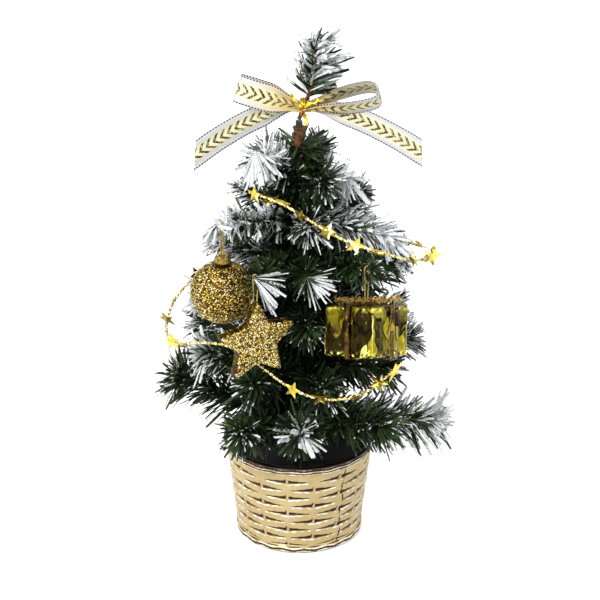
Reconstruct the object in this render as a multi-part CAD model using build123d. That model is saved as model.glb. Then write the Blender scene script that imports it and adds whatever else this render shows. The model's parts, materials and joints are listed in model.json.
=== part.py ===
from build123d import *
import math
import os
from dataclasses import dataclass

# Artificial tabletop tree, 300 mm tall: a woven-look pot with cast ballast, a tape-wound wire trunk, tiers
# of brush branches, a ribbon bow, a glitter ball, a glitter star, a foil gift and a garland of foil stars.
# Frame, in millimetres: origin at the centre of the pot's flat bottom, +Z up, -Y towards the front.
# An azimuth is an angle about +Z from +X, so 270 degrees is the front.

# ---------------------------------------------------------------- driving sizes: pot and ballast
POT_HEIGHT = 58.0
POT_RIM_RADIUS = 41.3
POT_BASE_RADIUS = 34.2
POT_WALL = 1.6
POT_FLOOR = 2.0
RIM_ROLL = 1.8  # how far the rolled rim stands out
BASE_ROLL = 1.4
RIM_ROLL_HEIGHT = 5.0
BASE_ROLL_HEIGHT = 4.0
BAND_COUNT = 10
BAND_RELIEF = 0.5
BALLAST_TOP = 46.0
BALLAST_GAP = 0.1  # the plaster shrinks this much from what it was cast against

# ---------------------------------------------------------------- driving sizes: trunk and branches
POLE_RADIUS = 1.9
POLE_FOOT = 8.0
TRUNK_TOP = 248.0
FIRST_TIER_RISE = 14.0  # from the pot's rim to the lowest branches
LAST_TIER_DROP = 32.0  # from the end of the trunk down to the highest branches
TIER_GAPS = (0.0, 32.0, 32.0, 30.0, 26.0, 24.0)  # how the tiers share the stretch between, from below
TAPE_WALL = 1.2
TAPE_FIT = 0.1
TAPE_BARE_END = 3.0  # the pole shows this much above the tape
COLLAR_WALL = 1.0  # extra tape over the bound branch ends
COLLAR_HEIGHT = 6.0
WIRE_RADIUS = 0.8
ROOT_GAP = 0.3
CORE_FIT = 0.15  # between a brush and its wire
BRUSH_START = 4.0
BRUSH_SIDE_GAP = 0.6  # between neighbouring brushes of one tier
WHORL_PITCH = 8.0
WHORL_LEAN = 0.85  # share of the pitch by which the needles lean forward
VALLEY_SHARE = 0.6  # depth of the brush between two whorls
TIP_OVERHANG = 8.0  # needles reach this far past the wire's end
HANG_SPREAD = 3.4  # half the bare stretch where a thread hangs

# ---------------------------------------------------------------- driving sizes: top twig
LEADER_HEIGHT = 52.0  # from the end of the trunk to the tips of the top twig's needles
LEADER_LEAN = 13.0
LEADER_AZIMUTH = 0.0
LEADER_WIRE_RADIUS = 1.1
LEADER_BRUSH_RADIUS = 12.5
LEADER_BARE = 14.0  # wire below the brush, where the bow is tied
LEADER_FLARE = 0.85  # how fast the brush widens above the bow

# ---------------------------------------------------------------- driving sizes: bow
BOW_RISE = 10.0  # from the end of the trunk to the knot
RIBBON_WIDTH = 16.0
RIBBON_THICKNESS = 0.6
RIBBON_GAP = 0.3  # between the layers of the bow and round its tie
PINCH_WIDTH = 7.0
PINCH_DEPTH = 4.0
PINCH_LENGTH = 10.0
LOOP_DEPTH = 10.0
TAIL_FORWARD = 8.0  # how far a tail's end comes forward
TAIL_STRAIGHT = 36.0  # the tail comes forward only past the loops
TAIL_CROWN = 4.0  # how far a tail bows upwards along its length
TAIL_END_SHARE = 0.95  # height of a tail's cut end as a share of the ribbon's width
TIE_WALL = 0.8
TIE_WIDTH = 3.0
TIE_END = 9.0
TIE_END_SPREAD = 35.0

# ---------------------------------------------------------------- driving sizes: ornaments
THREAD_RADIUS = 0.4
THREAD_CLEARANCE = 0.25
THREAD_FOOT_RADIUS = 0.7  # of the small bend at the thread's lower end
THREAD_HOLE_GAP = 0.3
KNOT_RADIUS = 1.9
KNOT_GAP = 0.2
BALL_RADIUS = 17.5
BALL_WALL = 1.0
BALL_DROP = 18.0  # from the wire to the top of the cap
BALL_NECK_RADIUS = 3.2
CAP_RADIUS = 4.5
CAP_HEIGHT = 4.0
CAP_WALL = 0.8
CAP_FIT = 0.1
STAR_RADIUS = 24.5
STAR_WAIST = 12.0
STAR_THICKNESS = 8.0
STAR_TIP_ROUND = 2.2
STAR_WAIST_ROUND = 2.0
STAR_DROP = 12.0
STAR_FACING = 300.0
STAR_POCKET = 7.0
GIFT_SIDE = 33.0
GIFT_HEIGHT = 28.0
GIFT_EDGE = 1.2
GIFT_YAW = -37.0
GIFT_LEAN = 22.0  # leans back on the branches below, towards +Y
GIFT_DROP = 21.0
GIFT_POCKET = 6.0
FOIL_WALL = 0.35
FOIL_GAP = 0.05
BAND_WIDTH = 4.0
BAND_THICKNESS = 0.5
TINSEL_RADIUS = 1.3
TINSEL_GAP = 0.3
CORNER_SHARE = 0.45  # of the shorter run beside a corner that its arc takes up
# The tinsel's route across the top of the gift: across, back and above its resting height.
TINSEL_ROUTE = ((-17.0, 5.0, 0.0), (-7.0, 3.6, 0.0), (6.0, 4.6, 0.4), (19.0, 2.4, 3.0))

# ---------------------------------------------------------------- driving sizes: garland
GARLAND_RADIUS = 0.6
FOIL_STAR_THICKNESS = 0.4
FOIL_STAR_GAP = 0.3
FOIL_STAR_WAIST = 0.45  # of the star's radius


@dataclass(frozen=True)
class Branch:
    """One brush branch: where it points, how long it is and how thick its brush is."""

    azimuth: float
    rise: float
    length: float
    brush: float = 11.0
    hang: float = 0.0  # distance along the wire of a hanging thread, 0 for none


@dataclass(frozen=True)
class Tier:
    """Branches that are bound to the trunk at one height."""

    name: str
    row: int
    branches: tuple

    @property
    def height(self):
        """Height of the tier on the trunk."""
        first, last = POT_HEIGHT + FIRST_TIER_RISE, TRUNK_TOP - LAST_TIER_DROP
        return first + (last - first) * sum(TIER_GAPS[: self.row + 1]) / sum(TIER_GAPS)


TIERS = (
    Tier("skirt", 0, (
        Branch(347, 2, 82), Branch(312, 15, 72), Branch(272, 17, 68), Branch(240, 14, 66),
        Branch(190, 20, 74), Branch(134, 12, 76), Branch(68, 12, 76),
    )),
    Tier("low", 1, (
        Branch(6, 11, 66), Branch(56, 12, 66), Branch(104, 12, 64), Branch(152, 12, 66),
        Branch(196, 12, 58), Branch(236, 6, 50), Branch(286, 6, 50), Branch(330, 10, 58),
    )),
    Tier("middle", 2, (
        Branch(348, 6, 58, 10), Branch(28, 18, 60), Branch(78, 18, 60), Branch(128, 18, 60),
        Branch(176, 8, 58, 10), Branch(278, 12, 46, 9),
    )),
    Tier("upper", 3, (
        Branch(249, 16, 72, 8, 60), Branch(277, 14, 52, 8), Branch(307, 17, 70, 7.5, 58),
        Branch(352, 3, 60, 10), Branch(52, 18, 54, 10), Branch(112, 18, 54, 10), Branch(180, 14, 52, 10),
    )),
    Tier("high", 4, (
        Branch(221, 12, 62, 8, 50), Branch(284, 14, 34, 9), Branch(338, -4, 54, 10),
        Branch(24, 14, 42, 10), Branch(88, 16, 40, 10), Branch(152, 16, 42, 10),
    )),
    Tier("crown", 5, (
        Branch(221, 42, 42, 9), Branch(300, 14, 28, 9), Branch(352, 0, 30, 9),
        Branch(62, 26, 28, 9), Branch(140, 26, 30, 9),
    )),
)

# The garland's route, one turn round the tree from the upper left down to the lower right.
GARLAND_ROUTE = (
    (-26, -30, 219), (-12, -42, 220), (3, -50, 214), (18, -56, 206), (32, -57, 200), (45, -52, 194),
    (58, -40, 184), (68, -22, 176), (73, 0, 169), (70, 26, 162), (54, 50, 155), (28, 67, 149), (-2, 72, 146),
    (-32, 65, 142), (-56, 47, 137), (-71, 24, 130), (-75, -2, 122), (-67, -24, 125), (-52, -36, 133),
    (-35, -43, 134), (-20, -51, 126), (-6, -64, 120), (10, -71, 116), (27, -71, 116), (42, -64, 120),
    (54, -50, 126),
)


@dataclass(frozen=True)
class FoilStar:
    """One flat star on the garland: its share of the way along, its size and its roll about the cord."""

    share: float
    radius: float
    roll: float


GARLAND_STARS = (
    FoilStar(0.008, 5.0, 0), FoilStar(0.026, 5.5, 110), FoilStar(0.040, 4.5, -100), FoilStar(0.062, 4.5, 20),
    FoilStar(0.092, 5.0, -25), FoilStar(0.122, 5.5, 10), FoilStar(0.146, 4.5, 70), FoilStar(0.215, 4.5, -30),
    FoilStar(0.252, 4.5, 60), FoilStar(0.272, 7.0, 0), FoilStar(0.330, 5.0, -40), FoilStar(0.375, 5.5, 30),
    FoilStar(0.420, 4.5, -20), FoilStar(0.465, 6.0, 50), FoilStar(0.510, 5.0, 0), FoilStar(0.555, 5.0, -50),
    FoilStar(0.600, 5.5, 20), FoilStar(0.645, 4.5, -30), FoilStar(0.690, 5.0, 40), FoilStar(0.722, 6.0, 0),
    FoilStar(0.742, 5.0, 80), FoilStar(0.898, 5.0, 0), FoilStar(0.922, 5.5, -80), FoilStar(0.962, 4.5, 60),
    FoilStar(0.978, 5.5, -50), FoilStar(0.994, 7.0, 20),
)


def turned(points, axis):
    """Solid turned about an axis from a closed outline in the XZ plane."""
    outline = Polyline(*[(across, 0, up) for across, up in points], close=True)
    return revolve(make_face(outline), axis=axis)


def horizontal(azimuth):
    """Unit vector that points level along an azimuth."""
    angle = math.radians(azimuth)
    return Vector(math.cos(angle), math.sin(angle), 0)


# ---------------------------------------------------------------- pot and ballast
def pot_outside(height):
    """Radius of the pot's plain outside cone at a height."""
    return POT_BASE_RADIUS + (POT_RIM_RADIUS - POT_BASE_RADIUS) * height / POT_HEIGHT


def pot_inside(height):
    """Radius of the pot's inside cone at a height."""
    return pot_outside(height) - POT_WALL


def outward_arc(low, high, relief):
    """Arc up the pot's outside that stands out by the relief between two heights."""
    middle = (low + high) / 2
    return ThreePointArc(
        (pot_outside(low), 0, low), (pot_outside(middle) + relief, 0, middle), (pot_outside(high), 0, high)
    )


def make_pot_shell():
    """Tapered pot with horizontal woven bands and rolled borders."""
    bands_low = BASE_ROLL_HEIGHT
    band_height = (POT_HEIGHT - RIM_ROLL_HEIGHT - BASE_ROLL_HEIGHT) / BAND_COUNT
    edges = [Line((0, 0, 0), (pot_outside(0), 0, 0)), outward_arc(0, bands_low, BASE_ROLL)]
    for band in range(BAND_COUNT):
        low = bands_low + band * band_height
        edges.append(outward_arc(low, low + band_height, BAND_RELIEF))
    edges.append(outward_arc(POT_HEIGHT - RIM_ROLL_HEIGHT, POT_HEIGHT, RIM_ROLL))
    edges.append(Polyline(
        (pot_outside(POT_HEIGHT), 0, POT_HEIGHT), (pot_inside(POT_HEIGHT), 0, POT_HEIGHT),
        (pot_inside(POT_FLOOR), 0, POT_FLOOR), (0, 0, POT_FLOOR), (0, 0, 0),
    ))
    return revolve(make_face(edges), axis=Axis.Z)


def make_pot_ballast():
    """Plaster plug cast in the pot round the foot of the pole."""
    low_radius = pot_inside(POT_FLOOR) - BALLAST_GAP
    high_radius = pot_inside(BALLAST_TOP) - BALLAST_GAP
    hole = POLE_RADIUS + BALLAST_GAP
    return turned(
        [(0, POT_FLOOR), (low_radius, POT_FLOOR), (high_radius, BALLAST_TOP), (hole, BALLAST_TOP),
         (hole, POLE_FOOT), (0, POLE_FOOT)],
        Axis.Z,
    )


# ---------------------------------------------------------------- trunk
def tape_radius():
    """Outside radius of the tape between the tiers."""
    return POLE_RADIUS + TAPE_FIT + TAPE_WALL


def collar_radius():
    """Outside radius of the tape where a tier is bound on."""
    return tape_radius() + COLLAR_WALL


def make_trunk_pole():
    """Straight bundle of wire that stands in the ballast."""
    pole = Cylinder(POLE_RADIUS, TRUNK_TOP - POLE_FOOT, align=(Align.CENTER, Align.CENTER, Align.MIN))
    return Pos(0, 0, POLE_FOOT) * pole


def make_trunk_tape():
    """Paper tape wound round the pole, with a thicker collar at each tier."""
    inside = POLE_RADIUS + TAPE_FIT
    outline = [(inside, BALLAST_TOP), (tape_radius(), BALLAST_TOP)]
    for tier in TIERS:
        half = COLLAR_HEIGHT / 2
        outline += [
            (tape_radius(), tier.height - half - COLLAR_WALL), (collar_radius(), tier.height - half),
            (collar_radius(), tier.height + half), (tape_radius(), tier.height + half + COLLAR_WALL),
        ]
    outline += [(tape_radius(), TRUNK_TOP - TAPE_BARE_END), (inside, TRUNK_TOP - TAPE_BARE_END)]
    return turned(outline, Axis.Z)


# ---------------------------------------------------------------- branches
def root_reach():
    """Distance from the trunk's axis to the ball end of a branch wire."""
    return collar_radius() + ROOT_GAP + WIRE_RADIUS


def branch_place(tier, branch):
    """Location whose +X runs along the branch's wire from its ball end."""
    root = horizontal(branch.azimuth) * root_reach()
    return Pos(root.X, root.Y, tier.height) * Rot(0, 0, branch.azimuth) * Rot(0, -branch.rise, 0)


def branch_point(tier, branch, along):
    """Point on the branch's wire at a distance from its ball end."""
    return (branch_place(tier, branch) * Pos(along, 0, 0)).position


def half_gap(tier, branch):
    """Half the angle to the nearest other branch of the tier, in degrees."""
    gaps = [
        min((other.azimuth - branch.azimuth) % 360, (branch.azimuth - other.azimuth) % 360)
        for other in tier.branches if other is not branch
    ]
    return min(gaps) / 2


def brush_radius(tier, branch, along):
    """Radius of a brush at a distance along its wire, kept clear of its neighbours in the tier."""
    outward = root_reach() + along * math.cos(math.radians(branch.rise))
    room = outward * math.sin(math.radians(half_gap(tier, branch))) - BRUSH_SIDE_GAP
    return min(branch.brush, room)


def brush_solid(radius_at, start, end, core):
    """Brush of forward-leaning whorls about +X, hollow for its wire."""
    count = max(1, round((end - start) / WHORL_PITCH))
    step = (end - start) / count
    outline = [(start, core), (start, VALLEY_SHARE * radius_at(start))]
    for whorl in range(count):
        crest = start + (whorl + WHORL_LEAN) * step
        outline.append((crest, radius_at(crest)))
        outline.append((start + (whorl + 1) * step, VALLEY_SHARE * radius_at(crest)))
    outline.append((end, core))
    return turned(outline, Axis.X)


def wire_solid(length, radius):
    """Round wire along +X with a ball at its start."""
    rod = Rot(0, 90, 0) * Cylinder(radius, length, align=(Align.CENTER, Align.CENTER, Align.MIN))
    return rod + Sphere(radius)


def make_branch(tier, branch):
    """Wire core and needle brush of one branch, as separate solids."""
    core = WIRE_RADIUS + CORE_FIT
    stretches = [(BRUSH_START, branch.length)]
    if branch.hang:
        stretches = [
            (BRUSH_START, branch.hang - HANG_SPREAD),
            (branch.hang + HANG_SPREAD, branch.length),
        ]
    place = branch_place(tier, branch)
    solids = [place * wire_solid(branch.length - TIP_OVERHANG, WIRE_RADIUS)]
    for start, end in stretches:
        solids.append(place * brush_solid(lambda along: brush_radius(tier, branch, along), start, end, core))
    return Compound(children=solids)


# ---------------------------------------------------------------- top twig
def leader_length():
    """Length of the top twig, so that its needles end at their height above the trunk."""
    lean = math.radians(LEADER_LEAN)
    reach = LEADER_HEIGHT - LEADER_WIRE_RADIUS - LEADER_BRUSH_RADIUS * VALLEY_SHARE * math.sin(lean)
    return reach / math.cos(lean)


def leader_place():
    """Location whose +X runs up the top twig from the end of the trunk."""
    foot = Pos(0, 0, TRUNK_TOP + LEADER_WIRE_RADIUS)
    return foot * Rot(0, 0, LEADER_AZIMUTH) * Rot(0, LEADER_LEAN - 90, 0)


def make_leader_wire():
    """Wire of the top twig, standing on the end of the trunk."""
    return leader_place() * wire_solid(leader_length() - TIP_OVERHANG, LEADER_WIRE_RADIUS)


def leader_brush_radius(along):
    """Radius of the top twig's brush, which widens above the bow."""
    return min(LEADER_BRUSH_RADIUS, 2 * LEADER_WIRE_RADIUS + LEADER_FLARE * (along - LEADER_BARE))


def make_leader_brush():
    """Needles of the top twig, above the bow."""
    core = LEADER_WIRE_RADIUS + CORE_FIT
    return leader_place() * brush_solid(leader_brush_radius, LEADER_BARE, leader_length(), core)


# ---------------------------------------------------------------- bow
@dataclass(frozen=True)
class RibbonLoop:
    """One loop of the bow: its side, reach and rise."""

    side: int
    reach: float
    rise: float


@dataclass(frozen=True)
class RibbonTail:
    """One tail of the bow: its side, span, drop and the slant of its cut end."""

    side: int
    span: float
    drop: float
    cut: float


LOOPS = (RibbonLoop(-1, 37.0, 15.0), RibbonLoop(1, 42.0, 11.0))
TAILS = (RibbonTail(-1, 58.0, 22.0, 9.0), RibbonTail(1, 64.0, 20.0, 1.0))


def bow_along():
    """Distance up the top twig's wire where the bow is tied."""
    return (BOW_RISE - LEADER_WIRE_RADIUS) / math.cos(math.radians(LEADER_LEAN))


def bow_centre():
    """Point on the top twig's wire that the bow is tied to."""
    return (leader_place() * Pos(bow_along(), 0, 0)).position


def tail_forward():
    """Distance from the wire's axis forward to the middle of the tail ribbon at the knot."""
    return LEADER_WIRE_RADIUS + RIBBON_GAP + TIE_WALL + RIBBON_GAP + RIBBON_THICKNESS / 2


def pinch_forward():
    """Distance from the wire's axis forward to the middle of the pinched loops."""
    return tail_forward() + RIBBON_THICKNESS / 2 + RIBBON_GAP + PINCH_DEPTH / 2


def loop_solid(loop):
    """Hollow loop: a plan-view teardrop ring cut to a fan that widens from the pinch."""
    round_end = Pos(loop.reach - LOOP_DEPTH / 2, (PINCH_DEPTH - LOOP_DEPTH) / 2) * Circle(LOOP_DEPTH / 2)
    teardrop = make_hull((Pos(PINCH_LENGTH / 2, 0) * Circle(PINCH_DEPTH / 2)).edges() + round_end.edges())
    ring = teardrop - offset(teardrop, -RIBBON_THICKNESS)
    band = extrude(ring, RIBBON_WIDTH / 2, both=True)
    fan = Polyline(
        (0, 0, -PINCH_WIDTH / 2), (PINCH_LENGTH / 2, 0, -PINCH_WIDTH / 2),
        (loop.reach, 0, -RIBBON_WIDTH / 2),
        (loop.reach, 0, RIBBON_WIDTH / 2), (PINCH_LENGTH / 2, 0, PINCH_WIDTH / 2), (0, 0, PINCH_WIDTH / 2),
        close=True,
    )
    shaped = band & extrude(make_face(fan), LOOP_DEPTH, both=True)
    turned_loop = Rot(0, -loop.rise, 0) * shaped
    return turned_loop if loop.side > 0 else mirror(turned_loop, about=Plane.YZ)


def make_bow_loops():
    """Both loops and the pinched ribbon between them."""
    pinch = Box(PINCH_LENGTH, PINCH_DEPTH, PINCH_WIDTH)
    place = Pos(bow_centre() + Vector(0, -pinch_forward(), 0))
    return place * (pinch + [loop_solid(loop) for loop in LOOPS])


def tail_solid(tail):
    """Hanging tail: a drooping band seen from the front, cut from a sheet that curves forward."""
    half = TAIL_END_SHARE * RIBBON_WIDTH / 2
    top_end = (tail.span - tail.cut, 0, -tail.drop + half)
    low_end = (tail.span, 0, -tail.drop - half)
    top_middle = (top_end[0] / 2, 0, (PINCH_WIDTH / 2 + top_end[2]) / 2 + TAIL_CROWN)
    low_middle = (low_end[0] / 2, 0, (low_end[2] - PINCH_WIDTH / 2) / 2 + TAIL_CROWN)
    outline = [
        ThreePointArc((0, 0, PINCH_WIDTH / 2), top_middle, top_end), Line(top_end, low_end),
        ThreePointArc(low_end, low_middle, (0, 0, -PINCH_WIDTH / 2)),
        Line((0, 0, -PINCH_WIDTH / 2), (0, 0, PINCH_WIDTH / 2)),
    ]
    front = extrude(make_face(outline), TAIL_FORWARD + RIBBON_THICKNESS, both=True)
    flat = Line((0, 0), (TAIL_STRAIGHT, 0))
    curl = TangentArc((TAIL_STRAIGHT, 0), (tail.span, -TAIL_FORWARD), tangent=(1, 0))
    sheet = extrude(trace([flat, curl], RIBBON_THICKNESS), tail.drop + RIBBON_WIDTH, both=True)
    shaped = front & sheet
    return shaped if tail.side > 0 else mirror(shaped, about=Plane.YZ)


def make_bow_tails():
    """Both tails, one ribbon that runs through the knot."""
    left, right = [tail_solid(tail) for tail in TAILS]
    return Pos(bow_centre() + Vector(0, -tail_forward(), 0)) * (left + right)


def make_bow_tie():
    """Flat gold tie: a strap round the ribbons, a strap round the wire and two twisted ends."""
    back = LEADER_WIRE_RADIUS + RIBBON_GAP
    front = pinch_forward() + PINCH_DEPTH / 2 + RIBBON_GAP + TIE_WALL
    depth = front - back
    height = PINCH_WIDTH + 2 * (RIBBON_GAP + TIE_WALL)
    strap = Box(TIE_WIDTH, depth, height) - Box(TIE_WIDTH, depth - 2 * TIE_WALL, height - 2 * TIE_WALL)
    strap = Pos(bow_centre() + Vector(0, -(front + back) / 2, 0)) * strap
    collar = Cylinder(LEADER_WIRE_RADIUS + RIBBON_GAP + TIE_WALL, TIE_WIDTH)
    collar -= Cylinder(LEADER_WIRE_RADIUS + RIBBON_GAP, TIE_WIDTH)
    collar = leader_place() * Pos(bow_along(), 0, 0) * Rot(0, 90, 0) * collar
    end = Pos(0, 0, TIE_END / 2) * Box(TIE_WALL * 2, TIE_WALL, TIE_END)
    tip_place = Pos(bow_centre() + Vector(0, TIE_WALL / 2 - front, height / 2 - TIE_WALL))
    ends = [tip_place * Rot(0, side * TIE_END_SPREAD, 0) * end for side in (-1, 1)]
    return strap + collar + ends


# ---------------------------------------------------------------- ornaments
UPRIGHT = Rot(0, 0, 90) * Rot(90, 0, 0)  # stands a flat drawing up, facing +X


def carrier(azimuth):
    """The tier and branch that carry a hanging thread nearest an azimuth."""
    pairs = [(tier, branch) for tier in TIERS for branch in tier.branches if branch.hang]
    return min(pairs, key=lambda pair: abs(pair[1].azimuth - azimuth))


BALL_CARRIER = carrier(221)
STAR_CARRIER = carrier(249)
GIFT_CARRIER = carrier(307)


def hang_place(pair):
    """Location on a carrying branch's wire, level, with +X out along the branch."""
    tier, branch = pair
    return Pos(branch_point(tier, branch, branch.hang)) * Rot(0, 0, branch.azimuth)


def thread_top_radius():
    """Middle-line radius of the thread's bend over the branch wire."""
    return WIRE_RADIUS + THREAD_CLEARANCE + THREAD_RADIUS


def thread_hole_radius():
    """Radius of the hole that a thread's two legs pass through near its foot."""
    return THREAD_FOOT_RADIUS + THREAD_RADIUS + THREAD_HOLE_GAP


def thread_solid(pair, foot, knot):
    """Closed thread over the wire, down to its foot, with or without a knot there."""
    top, bottom = thread_top_radius(), THREAD_FOOT_RADIUS
    lean = (top - bottom) / foot
    side = Vector(math.sqrt(1 - lean**2), lean)
    other_side = Vector(-side.X, side.Y)
    low = Vector(0, -foot)
    path = [
        ThreePointArc(other_side * top, (0, top), side * top),
        Line(side * top, low + side * bottom),
        ThreePointArc(low + side * bottom, low + Vector(0, -bottom), low + other_side * bottom),
        Line(low + other_side * bottom, other_side * top),
    ]
    section = Circle(THREAD_RADIUS)
    runs = [sweep(Plane(origin=edge @ 0, z_dir=edge % 0) * section, path=edge) for edge in path]
    thread = runs[0] + runs[1:]
    if knot:
        thread += Pos(0, -foot, 0) * Sphere(KNOT_RADIUS)
    return hang_place(pair) * UPRIGHT * thread


def knot_foot(drop, wall, lean=0.0):
    """Depth of a knot's centre below the wire when it sits under a wall that leans."""
    return drop + (wall + KNOT_GAP + KNOT_RADIUS) / math.cos(math.radians(lean))


def ball_depth():
    """Depth of the ball's centre below the wire."""
    seat = math.sqrt(BALL_RADIUS**2 - (CAP_RADIUS - CAP_WALL) ** 2)
    return BALL_DROP + CAP_HEIGHT + CAP_FIT + seat


def make_ball():
    """Hollow ball with a neck hole under its cap."""
    ball = Sphere(BALL_RADIUS) - Sphere(BALL_RADIUS - BALL_WALL)
    ball -= Pos(0, 0, BALL_RADIUS) * Cylinder(BALL_NECK_RADIUS, 4 * BALL_WALL)
    return hang_place(BALL_CARRIER) * Pos(0, 0, -ball_depth()) * ball


def make_ball_cap():
    """Cap on the ball's neck, holed for the thread."""
    top_half = (Align.CENTER, Align.CENTER, Align.MAX)
    cap = Cylinder(CAP_RADIUS, CAP_HEIGHT, align=top_half)
    cap -= Pos(0, 0, -CAP_WALL) * Cylinder(CAP_RADIUS - CAP_WALL, CAP_HEIGHT, align=top_half)
    cap -= Cylinder(thread_hole_radius(), 2 * CAP_HEIGHT)
    return hang_place(BALL_CARRIER) * Pos(0, 0, -BALL_DROP) * cap


def five_point_star(radius, waist):
    """Face of a five-pointed star with one point up +Y."""
    corners = []
    for corner in range(10):
        angle = math.radians(90 + 36 * corner)
        reach = radius if corner % 2 == 0 else waist
        corners.append((reach * math.cos(angle), reach * math.sin(angle)))
    return make_face(Polyline(*corners, close=True))


def make_glitter_star():
    """Thick star with soft points and a pocket for the thread in its top point."""
    face = five_point_star(STAR_RADIUS, STAR_WAIST)
    corners = face.vertices().sort_by(lambda corner: Vector(*corner).length)
    face = fillet(corners[:5], STAR_WAIST_ROUND)
    corners = face.vertices().sort_by(lambda corner: Vector(*corner).length)
    face = fillet(corners[-5:], STAR_TIP_ROUND)
    star = extrude(face, STAR_THICKNESS / 2, both=True)
    pocket = Rot(90, 0, 0) * Cylinder(thread_hole_radius(), 2 * STAR_POCKET)
    star -= Pos(0, STAR_RADIUS, 0) * pocket
    turn = Rot(0, 0, STAR_FACING - STAR_CARRIER[1].azimuth)
    return hang_place(STAR_CARRIER) * Pos(0, 0, -STAR_DROP - STAR_RADIUS) * turn * UPRIGHT * star


def gift_thread_place():
    """Location of the middle of the gift's top, with +Z up the thread and +X across the front."""
    return hang_place(GIFT_CARRIER) * Pos(0, 0, -GIFT_DROP) * Rot(0, 0, -GIFT_CARRIER[1].azimuth)


def gift_top_place():
    """Location of the middle of the gift's top, with +Z square to the top and +X across the front."""
    return gift_thread_place() * Rot(-GIFT_LEAN, 0, 0)


def gift_place():
    """Location of the middle of the gift's top, turned to its own sides."""
    return gift_top_place() * Rot(0, 0, GIFT_YAW)


def gift_box(grow):
    """Box round the gift's foil, grown on every side, from the middle of its top."""
    side = GIFT_SIDE + 2 * grow
    box = Box(side, side, GIFT_HEIGHT + 2 * grow)
    box = fillet(box.edges(), GIFT_EDGE + grow)
    return Pos(0, 0, -GIFT_HEIGHT / 2) * box


def thread_hole(depth):
    """Upright hole down from the gift's top for the thread."""
    return gift_thread_place() * Cylinder(thread_hole_radius(), 2 * depth)


def make_gift_block():
    """Foam block under the foil, with an upright pocket for the thread's knot."""
    pocket = gift_thread_place() * Cylinder(KNOT_RADIUS + KNOT_GAP, 2 * GIFT_POCKET)
    return gift_place() * gift_box(-FOIL_WALL - FOIL_GAP) - pocket


def make_gift_foil():
    """Foil wrapped over the block."""
    return gift_place() * (gift_box(0) - gift_box(-FOIL_WALL)) - thread_hole(FOIL_WALL * 4)


def make_gift_ribbon():
    """Two flat bands that cross on the top and bottom of the gift."""
    shell = gift_box(FOIL_GAP + BAND_THICKNESS) - gift_box(FOIL_GAP)
    reach = 2 * GIFT_SIDE
    bands = Box(BAND_WIDTH, reach, reach) + Box(reach, BAND_WIDTH, reach)
    return gift_place() * (shell & bands) - thread_hole(BAND_THICKNESS * 4)


def swept_cord(route, radius):
    """Round cord along straight runs and tangent arcs, with its path's length and arc radii."""
    points = [Vector(*point) for point in route]
    radii = []
    for before, corner, after in zip(points, points[1:], points[2:]):
        turn = math.radians((corner - before).get_angle(after - corner))
        shorter = min((corner - before).length, (after - corner).length)
        radii.append(CORNER_SHARE * shorter / math.tan(turn / 2))
    path = FilletPolyline(*points, radius=radii)
    section = Plane(origin=path @ 0, z_dir=path % 0) * Circle(radius)
    return sweep(section, path=path), path, radii


def make_gift_tinsel():
    """Tinsel tie that lies across the gift's top with its ends free."""
    rest = FOIL_GAP + BAND_THICKNESS + TINSEL_GAP + TINSEL_RADIUS
    route = [(across, back, rest + above) for across, back, above in TINSEL_ROUTE]
    return gift_top_place() * swept_cord(route, TINSEL_RADIUS)[0]


# ---------------------------------------------------------------- garland
def make_garland():
    """The garland's cord and its foil stars."""
    cord, path, radii = swept_cord(GARLAND_ROUTE, GARLAND_RADIUS)
    print("garland radii", [round(radius, 1) for radius in radii])
    print("garland length", round(path.length, 1), "cord volume", round(cord.volume, 1),
          "section by length", round(math.pi * GARLAND_RADIUS**2 * path.length, 1))
    stars = []
    for star in GARLAND_STARS:
        point, along = path @ star.share, path % star.share
        outward = Vector(point.X, point.Y, 0)
        outward = (outward - along * outward.dot(along)).normalized()
        facing = outward.rotate(Axis((0, 0, 0), along), star.roll)
        seat = Plane(origin=point + facing * (GARLAND_RADIUS + FOIL_STAR_GAP), x_dir=along, z_dir=facing)
        face = five_point_star(star.radius, star.radius * FOIL_STAR_WAIST)
        stars.append(seat * extrude(face, FOIL_STAR_THICKNESS))
    return cord, Compound(children=stars)


# ---------------------------------------------------------------- assembly
def assemble():
    """Every node of the tree by name."""
    nodes = {
        "pot_shell": make_pot_shell(),
        "pot_ballast": make_pot_ballast(),
        "trunk_pole": make_trunk_pole(),
        "trunk_tape": make_trunk_tape(),
        "leader_wire": make_leader_wire(),
        "leader_brush": make_leader_brush(),
    }
    for tier in TIERS:
        for number, branch in enumerate(tier.branches, start=1):
            nodes[f"branch_{tier.name}_{number}"] = make_branch(tier, branch)
    nodes["bow_loops"] = make_bow_loops()
    nodes["bow_tails"] = make_bow_tails()
    nodes["bow_tie"] = make_bow_tie()
    nodes["ball"] = make_ball()
    nodes["ball_cap"] = make_ball_cap()
    nodes["ball_thread"] = thread_solid(BALL_CARRIER, knot_foot(BALL_DROP, CAP_WALL), knot=True)
    nodes["glitter_star"] = make_glitter_star()
    star_foot = STAR_DROP + STAR_POCKET - THREAD_FOOT_RADIUS - THREAD_RADIUS - THREAD_HOLE_GAP
    nodes["star_thread"] = thread_solid(STAR_CARRIER, star_foot, knot=False)
    nodes["gift_block"] = make_gift_block()
    nodes["gift_foil"] = make_gift_foil()
    nodes["gift_ribbon"] = make_gift_ribbon()
    nodes["gift_tinsel"] = make_gift_tinsel()
    nodes["gift_thread"] = thread_solid(GIFT_CARRIER, knot_foot(GIFT_DROP, FOIL_WALL, GIFT_LEAN), knot=True)
    nodes["garland_cord"], nodes["garland_stars"] = make_garland()
    return nodes


def main():
    """Write one STEP file for each node."""
    os.makedirs("parts", exist_ok=True)
    for name, shape in assemble().items():
        export_step(shape, f"parts/{name}.step")


main()
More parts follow.
